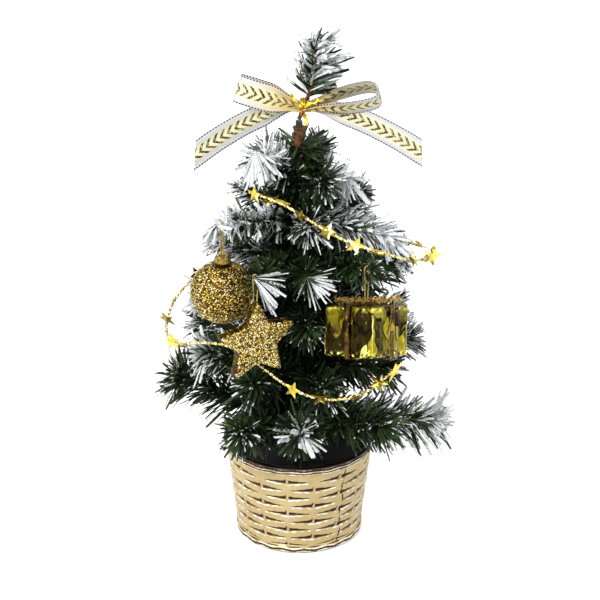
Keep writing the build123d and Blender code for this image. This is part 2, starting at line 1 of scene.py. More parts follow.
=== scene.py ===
"""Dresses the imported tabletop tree: flocked needle brushes, woven pot, organza bow, glitter ornaments,
foil gift and star garland, in a plain white studio.

Lengths in the classes are in millimetres, except the studio's, which are in metres. Meshes are written in
metres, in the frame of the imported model.
"""

import json
import logging
import math
from dataclasses import dataclass, field, fields
from enum import Enum

import bmesh
import bpy
import numpy as np
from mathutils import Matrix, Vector

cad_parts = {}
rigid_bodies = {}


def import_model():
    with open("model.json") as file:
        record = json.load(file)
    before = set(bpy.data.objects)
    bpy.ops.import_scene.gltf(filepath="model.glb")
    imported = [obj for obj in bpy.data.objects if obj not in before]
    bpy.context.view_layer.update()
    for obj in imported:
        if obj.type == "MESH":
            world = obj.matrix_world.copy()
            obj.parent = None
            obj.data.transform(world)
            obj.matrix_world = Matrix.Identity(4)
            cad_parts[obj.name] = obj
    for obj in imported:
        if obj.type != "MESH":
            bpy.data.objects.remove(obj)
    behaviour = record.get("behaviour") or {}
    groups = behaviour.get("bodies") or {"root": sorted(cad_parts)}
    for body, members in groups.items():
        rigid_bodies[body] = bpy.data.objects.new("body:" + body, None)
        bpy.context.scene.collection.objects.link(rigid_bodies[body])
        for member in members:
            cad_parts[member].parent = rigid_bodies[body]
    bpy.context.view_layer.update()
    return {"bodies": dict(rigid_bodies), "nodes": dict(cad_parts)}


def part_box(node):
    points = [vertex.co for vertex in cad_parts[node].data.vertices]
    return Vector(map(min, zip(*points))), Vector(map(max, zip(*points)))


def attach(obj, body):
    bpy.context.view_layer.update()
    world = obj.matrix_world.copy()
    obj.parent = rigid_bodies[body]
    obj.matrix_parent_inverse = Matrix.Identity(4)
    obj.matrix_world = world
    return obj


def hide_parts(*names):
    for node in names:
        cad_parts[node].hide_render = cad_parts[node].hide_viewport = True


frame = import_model()

LOG = logging.getLogger("tabletop_tree")
MM = 0.001
UP = np.array([0.0, 0.0, 1.0])
ASLANT = np.array([0.13, 0.21, 0.97])  # a direction that no branch follows
GOLDEN_TURN = 2.39996  # radians from one needle to the next round a wire
TREE_BODY = "tree"
Array = np.ndarray
Triple = tuple[float, float, float]
Socket = bpy.types.NodeSocket


# ---- arrays and meshes
def unit(vectors: Array) -> Array:
    """Vectors scaled to length one along the last axis."""
    return vectors / np.maximum(np.linalg.norm(vectors, axis=-1, keepdims=True), 1e-9)


def square_to(axis: Array, wanted: Array) -> Array:
    """Unit directions near the wanted ones and square to an axis."""
    return unit(wanted - axis * (wanted * axis).sum(-1, keepdims=True))


def heading(azimuth: float | Array, rise: float | Array = 0.0) -> Array:
    """Unit vectors at an azimuth about +Z and a rise above the level, both in degrees."""
    turn, lift = np.radians(azimuth), np.radians(rise)
    return np.stack(
        [np.cos(turn) * np.cos(lift), np.sin(turn) * np.cos(lift), np.sin(lift) + 0.0 * turn], axis=-1
    )


def smooth_step(low: float, high: float, values: Array) -> Array:
    """Zero below low, one above high and 3t^2 - 2t^3 between them."""
    share = np.clip((values - low) / (high - low), 0.0, 1.0)
    return share * share * (3.0 - 2.0 * share)


def around(columns: int) -> Array:
    """Angles evenly round a ring, as one row."""
    return np.linspace(0, 2 * np.pi, columns, endpoint=False)[None]


def box_of(node: str) -> tuple[Array, Array]:
    """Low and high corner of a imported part's box, in millimetres."""
    low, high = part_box(node)
    return np.array(low) / MM, np.array(high) / MM


def middle_of(node: str) -> Array:
    """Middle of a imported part's box, in millimetres."""
    low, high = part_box(node)
    return (np.array(low) + np.array(high)) / 2 / MM


def lattice(rows: int, columns: int, close_rows: bool = False, close_columns: bool = True) -> Array:
    """Quads of a lattice of points that is stored row by row.

    Args:
        rows: Number of rows of points.
        columns: Number of points in a row.
        close_rows: Whether the last row joins the first.
        close_columns: Whether the last point of a row joins its first.

    Returns:
        Four point numbers for each quad, facing away from a surface whose columns turn about its rows.
    """
    row = np.arange(rows if close_rows else rows - 1)
    column = np.arange(columns if close_columns else columns - 1)
    i, j = np.meshgrid(row, column, indexing="ij")
    below, beside = (i + 1) % rows, (j + 1) % columns
    corners = [i * columns + j, i * columns + beside, below * columns + beside, below * columns + j]
    return np.stack(corners, axis=-1).reshape(-1, 4)


def new_object(name: str, data: bpy.types.ID) -> bpy.types.Object:
    """A new object in the scene, at the origin."""
    made = bpy.data.objects.new(name, data)
    bpy.context.scene.collection.objects.link(made)
    return made


@dataclass
class Surface:
    """Points in millimetres with their faces and what the finish reads at each point."""

    points: Array
    quads: Array = field(default_factory=lambda: np.zeros((0, 4), int))
    tris: Array = field(default_factory=lambda: np.zeros((0, 3), int))
    values: dict[str, Array] = field(default_factory=dict)
    uv: Array | None = None

    @staticmethod
    def join(parts: list["Surface"]) -> "Surface":
        """One surface from several; a value that a part lacks is zero there, and UV stays if all have it."""
        starts = np.cumsum([0] + [len(part.points) for part in parts[:-1]])
        names = sorted({name for part in parts for name in part.values})
        return Surface(
            np.vstack([part.points for part in parts]),
            np.vstack([part.quads + start for part, start in zip(parts, starts)]),
            np.vstack([part.tris + start for part, start in zip(parts, starts)]),
            {
                name: np.concatenate([part.values.get(name, np.zeros(len(part.points))) for part in parts])
                for name in names
            },
            None if any(part.uv is None for part in parts) else np.vstack([part.uv for part in parts]),
        )

    def corner_triangles(self) -> Array:
        """All faces as triangles of point numbers."""
        return np.vstack([self.quads[:, [0, 1, 2]], self.quads[:, [0, 2, 3]], self.tris])

    def to_object(self, name: str, finish: "Finish", smooth: bool = True) -> bpy.types.Object:
        """Writes the surface into a new object at the origin.

        Args:
            name: Name of the piece.
            finish: What the piece is finished with.
            smooth: Whether its faces are shaded smooth.

        Returns:
            The new object.
        """
        mesh = bpy.data.meshes.new(name)
        corners = np.concatenate([self.quads.ravel(), self.tris.ravel()])
        sizes = np.concatenate([np.full(len(self.quads), 4), np.full(len(self.tris), 3)])
        mesh.vertices.add(len(self.points))
        mesh.vertices.foreach_set("co", (self.points * MM).ravel())
        mesh.loops.add(len(corners))
        mesh.loops.foreach_set("vertex_index", corners)
        mesh.polygons.add(len(sizes))
        mesh.polygons.foreach_set("loop_start", np.cumsum(sizes) - sizes)
        mesh.polygons.foreach_set("use_smooth", np.full(len(sizes), smooth))
        for key, value in self.values.items():
            layer = mesh.attributes.new(key, "FLOAT", "POINT")
            layer.data.foreach_set("value", np.asarray(value, float).ravel())
        if self.uv is not None:
            mesh.uv_layers.new(name="UVMap").data.foreach_set("uv", self.uv[corners].ravel())
        mesh.update(calc_edges=True)
        mesh.validate()
        mesh.materials.append(finish.material())
        return new_object(name, mesh)


def turned(across: Array, up: Array, columns: int) -> Array:
    """Points of a profile turned about +Z: each row is one ring of (r cos a, r sin a, z)."""
    angle = around(columns)
    across, up = np.broadcast_arrays(across, up)
    return np.stack([across * np.cos(angle), across * np.sin(angle), up + 0 * angle], axis=-1)


def closed(rings: Array, **values: Array) -> Surface:
    """Surface through rings of points, closed at both ends by a fan to the middle of the end ring.

    Args:
        rings: Points as rows x columns x 3.
        values: Numbers for each point, rows x columns.

    Returns:
        The closed surface; the fans take the mean value of their ring.
    """
    rows, columns = rings.shape[:2]
    first, last = rows * columns, rows * columns + 1
    step = np.arange(columns)
    beside = (step + 1) % columns
    base = (rows - 1) * columns
    fans = np.vstack([
        np.stack([np.full(columns, first), beside, step], axis=-1),
        np.stack([np.full(columns, last), base + step, base + beside], axis=-1),
    ])
    points = np.vstack([rings.reshape(-1, 3), rings[0].mean(0), rings[-1].mean(0)])
    grown = {
        name: np.concatenate([value.ravel(), [value[0].mean(), value[-1].mean()]])
        for name, value in values.items()
    }
    return Surface(points, lattice(rows, columns), fans, grown)


def path_frames(path: Array, reference: Array = UP) -> tuple[Array, Array, Array]:
    """Directions along a path and two across it, from one fixed reference direction.

    Args:
        path: Points of the path.
        reference: A direction that the path never follows.

    Returns:
        Unit tangents t, then n = t x reference and b = t x n, both unit.
    """
    along = unit(np.gradient(path, axis=0))
    across = unit(np.cross(along, reference))
    return along, across, np.cross(along, across)


def tube(path: Array, radius: Array, columns: int, reference: Array = UP, **values: Array) -> Surface:
    """Closed tube p(s, a) = c(s) + r(s, a) (n cos a + b sin a) along a path.

    Args:
        path: Points c of the path.
        radius: Radius as rows x columns, or as an array that stretches to that.
        columns: Points round the tube.
        reference: A direction that the path never follows.
        values: Numbers for each point, rows x columns.

    Returns:
        The tube, closed at both ends.
    """
    _, across, lifted = path_frames(path, reference)
    angle = around(columns)[..., None]
    reach = np.broadcast_to(radius, (len(path), columns))[..., None]
    rings = path[:, None] + reach * (across[:, None] * np.cos(angle) + lifted[:, None] * np.sin(angle))
    return closed(rings, **values)


def resampled(path: Array, step: float) -> Array:
    """Points spaced evenly by about a step along a path, worked out from its running length."""
    run = np.concatenate([[0], np.cumsum(np.linalg.norm(np.diff(path, axis=0), axis=1))])
    share = np.linspace(0, run[-1], max(3, int(run[-1] / step)))
    return np.stack([np.interp(share, run, path[:, axis]) for axis in range(3)], axis=-1)


def path_length(path: Array) -> float:
    """Length of a path's runs added up."""
    return float(np.linalg.norm(np.diff(path, axis=0), axis=1).sum())


def wound(path: Array, step: float, columns: int) -> tuple[Array, Array, Array]:
    """Grid for strands that wind round a path.

    Args:
        path: Points of the path.
        step: Distance between rows.
        columns: Points round the path.

    Returns:
        Even points along the path, the running length in a column and the angles round it in a row.
    """
    fine = resampled(path, step)
    return fine, np.linspace(0, path_length(path), len(fine))[:, None], around(columns)


def scattered(surface: Surface, count: int, chance: np.random.Generator) -> tuple[Array, Array]:
    """Random points spread evenly over a surface's area, with the facing there.

    Args:
        surface: The surface to cover.
        count: Number of points.
        chance: Seeded source of random numbers.

    Returns:
        The points and the unit normals of the triangles that hold them.
    """
    a, b, c = (surface.points[surface.corner_triangles()[:, corner]] for corner in range(3))
    facing = np.cross(b - a, c - a)
    area = np.linalg.norm(facing, axis=1)
    pick = chance.choice(len(a), count, p=area / area.sum())
    first, second = np.sqrt(chance.random(count))[:, None], chance.random(count)[:, None]
    points = a[pick] * (1 - first) + b[pick] * first * (1 - second) + c[pick] * first * second
    return points, unit(facing[pick])


def grains(points: Array, facing: Array, size: float, tilt: float, chance: np.random.Generator) -> Surface:
    """Glitter grains: flattened octahedra, each turned at random and tilted off the surface.

    Args:
        points: Where the grains sit.
        facing: The surface's unit normal at each.
        size: Half the width of a grain.
        tilt: How far a grain's own normal leaves the surface's, as a share of its length.
        chance: Seeded source of random numbers.

    Returns:
        Eight triangles a grain, with a random tone for each.
    """
    count = len(points)
    top = unit(facing + tilt * chance.normal(size=(count, 3)))
    side = unit(np.cross(top, chance.normal(size=(count, 3))))
    other = np.cross(top, side)
    reach = size * chance.uniform(0.7, 1.25, (count, 1))
    corners = np.stack(
        [side * reach, other * reach, -side * reach, -other * reach, top * reach * 0.5, -top * reach * 0.5],
        axis=1,
    )
    shape = np.array([[0, 1, 4], [1, 2, 4], [2, 3, 4], [3, 0, 4], [1, 0, 5], [2, 1, 5], [3, 2, 5], [0, 3, 5]])
    tris = (shape[None] + 6 * np.arange(count)[:, None, None]).reshape(-1, 3)
    tone = np.repeat(chance.random(count), 6)
    return Surface((points[:, None] + corners).reshape(-1, 3), tris=tris, values={"tone": tone})


def crumple(points: Array, folds: int, pitch: float, seed: int) -> Array:
    """Height of crushed foil: the mean of folded waves |2 frac(p . d + f) - 1| in random directions d.

    Args:
        points: Where the height is wanted, in millimetres.
        folds: Number of wave directions.
        pitch: Length of the longest wave.
        seed: Seed for the directions.

    Returns:
        Heights from zero to one.
    """
    chance = np.random.default_rng(seed)
    directions = unit(chance.normal(size=(folds, 3))) / (pitch * chance.uniform(0.35, 1.0, (folds, 1)))
    phase = points @ directions.T + chance.random(folds)
    return np.abs(2.0 * (phase - np.floor(phase)) - 1.0).mean(-1)


# ---- shader helpers
def srgb(red: int, green: int, blue: int) -> tuple[float, float, float, float]:
    """A colour written in display values, as linear light with full alpha."""
    share = np.array([red, green, blue]) / 255.0
    linear = np.where(share <= 0.04045, share / 12.92, ((share + 0.055) / 1.055) ** 2.4)
    return (float(linear[0]), float(linear[1]), float(linear[2]), 1.0)


class Nodes:
    """Places nodes in a material, a group or the world, and links them."""

    def __init__(self, tree: bpy.types.NodeTree) -> None:
        """Starts with an empty tree."""
        self.tree = tree
        tree.nodes.clear()

    def add(self, kind: str, inputs: dict | None = None, **settings: object) -> bpy.types.Node:
        """Adds a node.

        Args:
            kind: The node's class without its ShaderNode prefix.
            inputs: Constants or output sockets for its inputs, by name or number.
            settings: The node's own settings.

        Returns:
            The node.
        """
        prefix = "" if kind.startswith("NodeGroup") else "ShaderNode"
        node = self.tree.nodes.new(prefix + kind)
        for name, value in settings.items():
            setattr(node, name, value)
        for name, value in (inputs or {}).items():
            if isinstance(value, Socket):
                self.tree.links.new(value, node.inputs[name])
            else:
                node.inputs[name].default_value = value
        return node

    def math(self, operation: str, first: object, second: object = 0.0) -> Socket:
        """Result of one Math node."""
        return self.add("Math", {0: first, 1: second}, operation=operation).outputs[0]

    def times(self, first: object, second: object) -> Socket:
        """Product of two numbers."""
        return self.math("MULTIPLY", first, second)

    def blend(self, share: object, first: object, second: object) -> Socket:
        """Colour between two colours."""
        return self.add("Mix", {0: share, 6: first, 7: second}, data_type="RGBA").outputs[2]

    def between(self, value: object, low: float, high: float, start: float = 0.0, end: float = 1.0) -> object:
        """Value eased from start to end as another goes from low to high."""
        limits = {"Value": value, "From Min": low, "From Max": high, "To Min": start, "To Max": end}
        return self.add("MapRange", limits, interpolation_type="SMOOTHSTEP").outputs[0]

    def place(self) -> Socket:
        """Object coordinates."""
        return self.add("TexCoord").outputs["Object"]

    def value(self, name: str) -> Socket:
        """A number that the mesh stores at each point."""
        return self.add("Attribute", attribute_name=name).outputs["Fac"]

    def noise(self, scale: object, detail: float = 2.0, place: object = None) -> Socket:
        """Soft noise, on object coordinates unless it is given others, with its scale in cycles a metre."""
        where = self.place() if place is None else place
        return self.add("TexNoise", {"Vector": where, "Scale": scale, "Detail": detail}).outputs["Fac"]

    def bump(self, height: object, strength: float, distance: float) -> Socket:
        """Normal from a height, with the relief in metres."""
        return self.add("Bump", {"Height": height, "Strength": strength, "Distance": distance}).outputs[0]

    def group(self, tree: bpy.types.NodeTree, **inputs: object) -> bpy.types.Node:
        """Places a shared group, with constants or sockets for its inputs by name."""
        return self.add("Group", inputs, node_tree=tree)


def group_tree(name: str, inputs: dict[str, float], outputs: list[str]) -> tuple[Nodes, dict, object]:
    """Starts a shader node group of plain numbers.

    Args:
        name: The group's name.
        inputs: Its inputs and their usual values.
        outputs: Its outputs.

    Returns:
        The node helper, the input sockets by name and the output node.
    """
    tree = bpy.data.node_groups.new(name, "ShaderNodeTree")
    nodes = Nodes(tree)
    for key, value in inputs.items():
        tree.interface.new_socket(key, in_out="INPUT", socket_type="NodeSocketFloat").default_value = value
    for key in outputs:
        tree.interface.new_socket(key, in_out="OUTPUT", socket_type="NodeSocketFloat")
    start = nodes.add("NodeGroupInput")
    return nodes, {key: start.outputs[key] for key in inputs}, nodes.add("NodeGroupOutput")


def make_grain_group() -> bpy.types.NodeTree:
    """Fine mottling that several finishes share: a mask from coarse and fine noise, and a height."""
    nodes, inputs, end = group_tree("grain", {"Scale": 400.0, "Contrast": 0.5}, ["Mask", "Height"])
    place = nodes.place()
    coarse = nodes.noise(inputs["Scale"], 3.0, place)
    fine = nodes.noise(nodes.times(inputs["Scale"], 5.0), 2.0, place)
    both = nodes.math("ADD", nodes.times(coarse, 0.65), nodes.times(fine, 0.35))
    centred = nodes.math("SUBTRACT", both, 0.5)
    spread = nodes.times(centred, nodes.times(inputs["Contrast"], 6.0))
    mask = nodes.add("Math", {0: spread, 1: 0.5}, operation="ADD", use_clamp=True).outputs[0]
    nodes.tree.links.new(mask, end.inputs["Mask"])
    nodes.tree.links.new(fine, end.inputs["Height"])
    return nodes.tree


def make_facet_group() -> bpy.types.NodeTree:
    """Flat facets that several metallic finishes share: a random tone and a height for each cell."""
    nodes, inputs, end = group_tree("facets", {"Scale": 900.0}, ["Tone", "Height"])
    cells = nodes.add("TexVoronoi", {"Vector": nodes.place(), "Scale": inputs["Scale"]})
    tone = nodes.add("SeparateColor", {0: cells.outputs["Color"]}).outputs[0]
    nodes.tree.links.new(tone, end.inputs["Tone"])
    nodes.tree.links.new(cells.outputs["Distance"], end.inputs["Height"])
    return nodes.tree


GRAIN = make_grain_group()
FACETS = make_facet_group()


# ---- finishes
@dataclass(frozen=True)
class Finish:
    """A named procedural finish; subclasses wire it up once and every piece shares it."""

    name: str

    def wire(self, nodes: Nodes) -> dict:
        """Wires the finish up.

        Args:
            nodes: Where its nodes go.

        Returns:
            Inputs of the Principled BSDF.
        """
        raise NotImplementedError

    def material(self) -> bpy.types.Material:
        """The material, made the first time that it is asked for."""
        found = bpy.data.materials.get(self.name)
        if found:
            return found
        made = bpy.data.materials.new(self.name)
        made.use_nodes = True
        nodes = Nodes(made.node_tree)
        shader = nodes.add("BsdfPrincipled", self.wire(nodes))
        nodes.add("OutputMaterial", {"Surface": shader.outputs[0]})
        return made


@dataclass(frozen=True)
class Needles(Finish):
    """Strips of green film, from deep to bright by the strip, whitened with flock where the mesh says."""

    deep: tuple = srgb(6, 13, 7)
    bright: tuple = srgb(70, 94, 52)
    flock: tuple = srgb(250, 252, 252)
    shade: tuple = srgb(222, 228, 234)

    def wire(self, nodes: Nodes) -> dict:
        """Green by the strip's tint, flock broken up by grain, and rough where it is white."""
        grain = nodes.group(GRAIN, Scale=900.0, Contrast=0.8)
        green = nodes.blend(nodes.value("tint"), self.deep, self.bright)
        patchy = nodes.math("ADD", nodes.value("frost"), nodes.times(grain.outputs["Mask"], 0.55))
        white = nodes.between(patchy, 0.66, 0.86)
        flock = nodes.blend(nodes.noise(140.0, 2.0), self.shade, self.flock)
        return {
            "Base Color": nodes.blend(white, green, flock),
            "Roughness": nodes.between(white, 0.0, 1.0, 0.42, 0.85),
            "Normal": nodes.bump(grain.outputs["Height"], 0.5, 0.0004),
            "Specular IOR Level": 0.18,
        }


@dataclass(frozen=True)
class WovenPlastic(Finish):
    """Moulded pot with a pale gold face, brown and painted shade in its grooves, and painted highlights on
    its lips.
    """

    face: tuple = srgb(206, 187, 137)
    warm: tuple = srgb(188, 165, 116)
    # groove: brown in the slits and braids, partly the plastic's own and partly painted shade; shadow: black
    # painted shadow under the slits' upper edges.
    groove: tuple = srgb(84, 50, 24)
    shadow: tuple = srgb(16, 11, 7)
    # Near-white painted highlight on the lips below the slits and on the braids' crests.
    lip: tuple = srgb(254, 252, 244)
    # Near black inside the pot: partly the bare plastic's dark inside and partly painted shade.
    inside: tuple = srgb(5, 4, 3)

    def wire(self, nodes: Nodes) -> dict:
        """Gold with soft blotches, brown to black by depth of the groove as own colour and painted shade,
        painted highlights on the lips, painted shade inside.
        """
        grain = nodes.group(GRAIN, Scale=70.0, Contrast=0.5)
        gold = nodes.blend(grain.outputs["Mask"], self.face, self.warm)
        ragged = nodes.times(nodes.noise(900.0, 3.0), 0.5)
        pale = nodes.between(nodes.math("ADD", nodes.value("lip"), ragged), 0.58, 0.84)
        rough_groove = nodes.math("ADD", nodes.value("groove"), ragged)
        brown = nodes.between(rough_groove, 0.55, 0.8)
        wash_and_shadow = nodes.blend(nodes.between(rough_groove, 0.85, 1.2), self.groove, self.shadow)
        painted = nodes.blend(brown, nodes.blend(pale, gold, self.lip), wash_and_shadow)
        polish = nodes.between(grain.outputs["Mask"], 0.0, 1.0, 0.34, 0.48)
        return {
            "Base Color": nodes.blend(nodes.value("inside"), painted, self.inside),
            "Metallic": nodes.between(brown, 0.0, 1.0, 0.25, 0.0),
            "Roughness": nodes.math("MAXIMUM", polish, nodes.times(nodes.value("inside"), 0.95)),
            "Specular IOR Level": 0.3,
            "Normal": nodes.bump(grain.outputs["Height"], 0.3, 0.0004),
        }


@dataclass(frozen=True)
class Glitter(Finish):
    """Loose metallic grains, each with its own tone, over a darker lacquer."""

    # Near-white sparks: painted glints on a few grains.
    spark: tuple = srgb(255, 250, 214)
    shine: tuple = srgb(226, 194, 66)
    middle: tuple = srgb(150, 118, 26)
    deep: tuple = srgb(52, 34, 6)

    def wire(self, nodes: Nodes) -> dict:
        """Tone by the grain: brown, olive gold, bright gold and a few near-white sparks as painted glints."""
        facets = nodes.group(FACETS, Scale=1300.0)
        own = nodes.times(nodes.value("tone"), 0.75)
        tone = nodes.math("ADD", own, nodes.times(facets.outputs["Tone"], 0.25))
        low = nodes.blend(nodes.between(tone, 0.2, 0.5), self.deep, self.middle)
        high = nodes.blend(nodes.between(tone, 0.46, 0.66), low, self.shine)
        return {
            "Base Color": nodes.blend(nodes.between(tone, 0.7, 0.78), high, self.spark),
            "Metallic": 0.85,
            "Roughness": nodes.between(facets.outputs["Tone"], 0.0, 1.0, 0.25, 0.5),
            "Normal": nodes.bump(facets.outputs["Height"], 0.6, 0.0003),
        }


@dataclass(frozen=True)
class Foil(Finish):
    """Thin metallised film: crushed facets in two tones as painted reflections, a few bright as painted
    highlights, with dark seams of painted shade between.

    Patches counts facets in a metre; a facet is bright where its random number is above shiny.
    """

    light: tuple = srgb(150, 132, 34)
    dark: tuple = srgb(58, 46, 12)
    # crease: painted highlight colour; seam: painted shade in the dark lines between facets.
    crease: tuple = srgb(250, 236, 120)
    seam: tuple = srgb(26, 20, 5)
    polish: float = 0.14
    patches: float = 60.0
    shiny: float = 0.9
    seam_width: float = 0.0
    squeeze: float = 0.6
    drift: float = 0.012
    drift_scale: float = 90.0
    crumb_scale: float = 330.0
    metal: float = 0.9

    def wire(self, nodes: Nodes) -> dict:
        """Painted reflections by facet, noise and the mesh's own tone; painted highlights on bright facets
        and creases; painted shade in the seams by edge distance.
        """
        place = nodes.place()
        wave = nodes.add("TexNoise", {"Vector": place, "Scale": self.drift_scale, "Detail": 1.0})
        ways = {0: wave.outputs["Color"], 1: (self.drift,) * 3}
        drift = nodes.add("VectorMath", ways, operation="MULTIPLY").outputs[0]
        drifted = nodes.add("VectorMath", {0: place, 1: drift}, operation="ADD").outputs[0]
        stretched = nodes.add("Mapping", {"Vector": drifted, "Scale": (1.0, 1.0, self.squeeze)}).outputs[0]
        cells = nodes.add("TexVoronoi", {"Vector": stretched, "Scale": self.patches}).outputs["Color"]
        split = nodes.add("SeparateColor", {0: cells})
        reflection_noise = nodes.math("ADD", nodes.noise(self.patches, 3.0, stretched), split.outputs[0])
        reflection_tone = nodes.math("ADD", nodes.times(reflection_noise, 0.5), nodes.value("tone"))
        mixed = nodes.blend(nodes.between(reflection_tone, 0.36, 0.62), self.dark, self.light)
        bright = nodes.between(split.outputs[1], self.shiny, self.shiny + 0.04)
        bright = nodes.math("MAXIMUM", bright, nodes.value("crease"))
        foil = nodes.blend(bright, mixed, self.crease)
        if self.seam_width:
            edge = nodes.add(
                "TexVoronoi", {"Vector": stretched, "Scale": self.patches}, feature="DISTANCE_TO_EDGE"
            ).outputs["Distance"]
            foil = nodes.blend(nodes.between(edge, self.seam_width, self.seam_width * 0.4), foil, self.seam)
        facets = nodes.group(FACETS, Scale=self.crumb_scale)
        return {
            "Base Color": foil,
            "Metallic": self.metal,
            "Roughness": nodes.between(facets.outputs["Tone"], 0.0, 1.0, self.polish, self.polish + 0.14),
            "Normal": nodes.bump(facets.outputs["Height"], 0.35, 0.0004),
        }


@dataclass(frozen=True)
class Organza(Finish):
    """Sheer ribbon with a cream band of chevrons and dashed metallic edges, drawn on its own UV map.

    Chevrons, dashes and threads are counted in one width of the ribbon.
    """

    sheer: tuple = srgb(218, 219, 222)
    cream: tuple = srgb(238, 229, 186)
    thread: tuple = srgb(48, 42, 18)
    gold: tuple = srgb(214, 186, 92)
    chevrons: float = 3.4
    chevron_lean: float = 3.6
    dashes: float = 9.0
    threads: float = 40.0

    def wire(self, nodes: Nodes) -> dict:
        """U runs along in ribbon widths, V across from 0 to 1; masks come from distances to the middle."""
        split = nodes.add("SeparateXYZ", {0: nodes.add("UVMap", uv_map="UVMap").outputs[0]})
        along, across = split.outputs[0], split.outputs[1]
        off = nodes.math("ABSOLUTE", nodes.math("SUBTRACT", across, 0.5))
        band = nodes.between(off, 0.30, 0.25)
        arms = nodes.math("ADD", nodes.times(along, self.chevrons), nodes.times(off, self.chevron_lean))
        stroke = nodes.between(nodes.math("PINGPONG", arms, 0.5), 0.25, 0.32)
        frayed = nodes.between(nodes.noise(1500.0, 2.0), 0.36, 0.48)
        stroke = nodes.times(stroke, nodes.between(off, 0.25, 0.21))
        stroke = nodes.times(stroke, frayed)
        edge = nodes.times(nodes.between(off, 0.43, 0.445), nodes.between(off, 0.495, 0.485))
        dash = nodes.between(nodes.math("PINGPONG", nodes.times(along, self.dashes), 0.5), 0.14, 0.22)
        edge = nodes.times(edge, dash)
        cloth = nodes.blend(band, self.sheer, self.cream)
        shaded = nodes.blend(nodes.value("gild"), cloth, self.gold)
        mark = nodes.math("MAXIMUM", stroke, edge)
        warp = nodes.math("PINGPONG", nodes.times(along, self.threads), 0.5)
        weft = nodes.math("PINGPONG", nodes.times(across, self.threads), 0.5)
        weave = nodes.times(warp, weft)
        cover = nodes.math("MAXIMUM", band, mark)
        return {
            "Base Color": nodes.blend(mark, shaded, self.thread),
            "Roughness": nodes.between(mark, 0.0, 1.0, 0.5, 0.32),
            "Metallic": nodes.times(mark, 0.4),
            "Alpha": nodes.between(cover, 0.0, 1.0, 0.86, 0.97),
            "Normal": nodes.bump(weave, 0.3, 0.0002),
            "Sheen Weight": 0.2,
        }


@dataclass(frozen=True)
class PaperTape(Finish):
    """Crepe paper tape in a warm brown, darker at the laps of its winding as painted shade."""

    light: tuple = srgb(126, 78, 34)
    dark: tuple = srgb(44, 27, 12)

    def wire(self, nodes: Nodes) -> dict:
        """Brown, darker as painted shade by the lap that the mesh stores, with fibres as grain."""
        grain = nodes.group(GRAIN, Scale=500.0, Contrast=0.8)
        worn = nodes.blend(grain.outputs["Mask"], self.dark, self.light)
        return {
            "Base Color": nodes.blend(nodes.value("lap"), worn, self.dark),
            "Roughness": 0.82,
            "Normal": nodes.bump(grain.outputs["Height"], 0.6, 0.0004),
        }


@dataclass(frozen=True)
class Plain(Finish):
    """One material in two close tones with grain: wire, plaster, thread or brass."""

    light: tuple = srgb(90, 100, 70)
    dark: tuple = srgb(40, 50, 30)
    scale: float = 400.0
    roughness: float = 0.5
    metal: float = 0.0
    relief: float = 0.0003

    def wire(self, nodes: Nodes) -> dict:
        """Grain mixes the tones, roughens the surface and raises it."""
        grain = nodes.group(GRAIN, Scale=self.scale, Contrast=0.7)
        mask = grain.outputs["Mask"]
        return {
            "Base Color": nodes.blend(mask, self.dark, self.light),
            "Roughness": nodes.between(mask, 0.0, 1.0, self.roughness + 0.1, self.roughness),
            "Metallic": self.metal,
            "Normal": nodes.bump(grain.outputs["Height"], 0.5, self.relief),
        }


NEEDLE_FILM = Needles("flocked_needles")
POT_GOLD = WovenPlastic("woven_gold_plastic")
GLITTER_GOLD = Glitter("gold_glitter")
GIFT_FOIL = Foil(
    "olive_gold_foil", light=srgb(160, 148, 36), dark=srgb(50, 40, 10), crease=srgb(255, 244, 120),
    patches=105.0, shiny=0.84, seam_width=0.045, squeeze=0.4,
)
BAND_FOIL = Foil(
    "brown_gold_band", light=srgb(104, 76, 32), dark=srgb(48, 34, 13), crease=srgb(190, 150, 70),
    patches=300.0,
)
STAR_FOIL = Foil(
    "garland_star_foil", light=srgb(240, 216, 92), dark=srgb(104, 86, 26), polish=0.12, patches=260.0,
    crease=srgb(255, 244, 180), shiny=0.8,
)
CORD_FOIL = Foil(
    "cord_foil", light=srgb(246, 232, 150), dark=srgb(150, 120, 46), polish=0.24, patches=900.0,
    crease=srgb(255, 248, 210), shiny=0.8,
)
TINSEL_FOIL = Foil(
    "tinsel_foil", light=srgb(240, 216, 132), dark=srgb(170, 124, 60), polish=0.25, patches=900.0, metal=0.45
)
TIE_FOIL = Foil(
    "twist_tie_foil", light=srgb(250, 218, 74), dark=srgb(190, 134, 22), polish=0.16, patches=300.0
)
ORGANZA = Organza("sheer_ribbon")
TAPE = PaperTape("brown_paper_tape")
WIRE = Plain("green_wire", light=srgb(60, 66, 40), dark=srgb(22, 24, 14), metal=0.2, roughness=0.45)
# Near black: the ballast's own dark top, darkened further as painted shade inside the pot.
PLASTER = Plain(
    "dark_plaster", light=srgb(14, 12, 10), dark=srgb(4, 4, 3), scale=220.0, roughness=0.95, relief=0.001
)
THREAD = Plain("gold_thread", light=srgb(214, 186, 96), dark=srgb(140, 108, 44), scale=1500.0, metal=0.5)
BRASS = Plain("cap_brass", light=srgb(206, 176, 92), dark=srgb(96, 70, 26), metal=0.8, roughness=0.3)


def declare(piece: bpy.types.Object, body: str, slot: str, *nodes: str) -> None:
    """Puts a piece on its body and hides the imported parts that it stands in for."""
    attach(piece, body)
    if nodes:
        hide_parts(*nodes)


def finish_node(node: str, finish: Finish) -> None:
    """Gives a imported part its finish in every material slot."""
    piece = frame["nodes"][node]
    if not piece.material_slots:
        piece.data.materials.append(finish.material())
    for slot in piece.material_slots:
        slot.material = finish.material()


# ---- needles
class Flock(Enum):
    """How much white flock a twig carries: how far down each needle, and on what share of them."""

    LIGHT = (0.32, 0.4)
    TIPPED = (0.65, 0.75)
    SNOWY = (1.25, 0.95)
    SILVER = (1.8, 1.1)

    @property
    def reach(self) -> float:
        """Share of a needle's length that can be white."""
        return self.value[0]

    @property
    def share(self) -> float:
        """Share of the needles that are white at all."""
        return self.value[1]


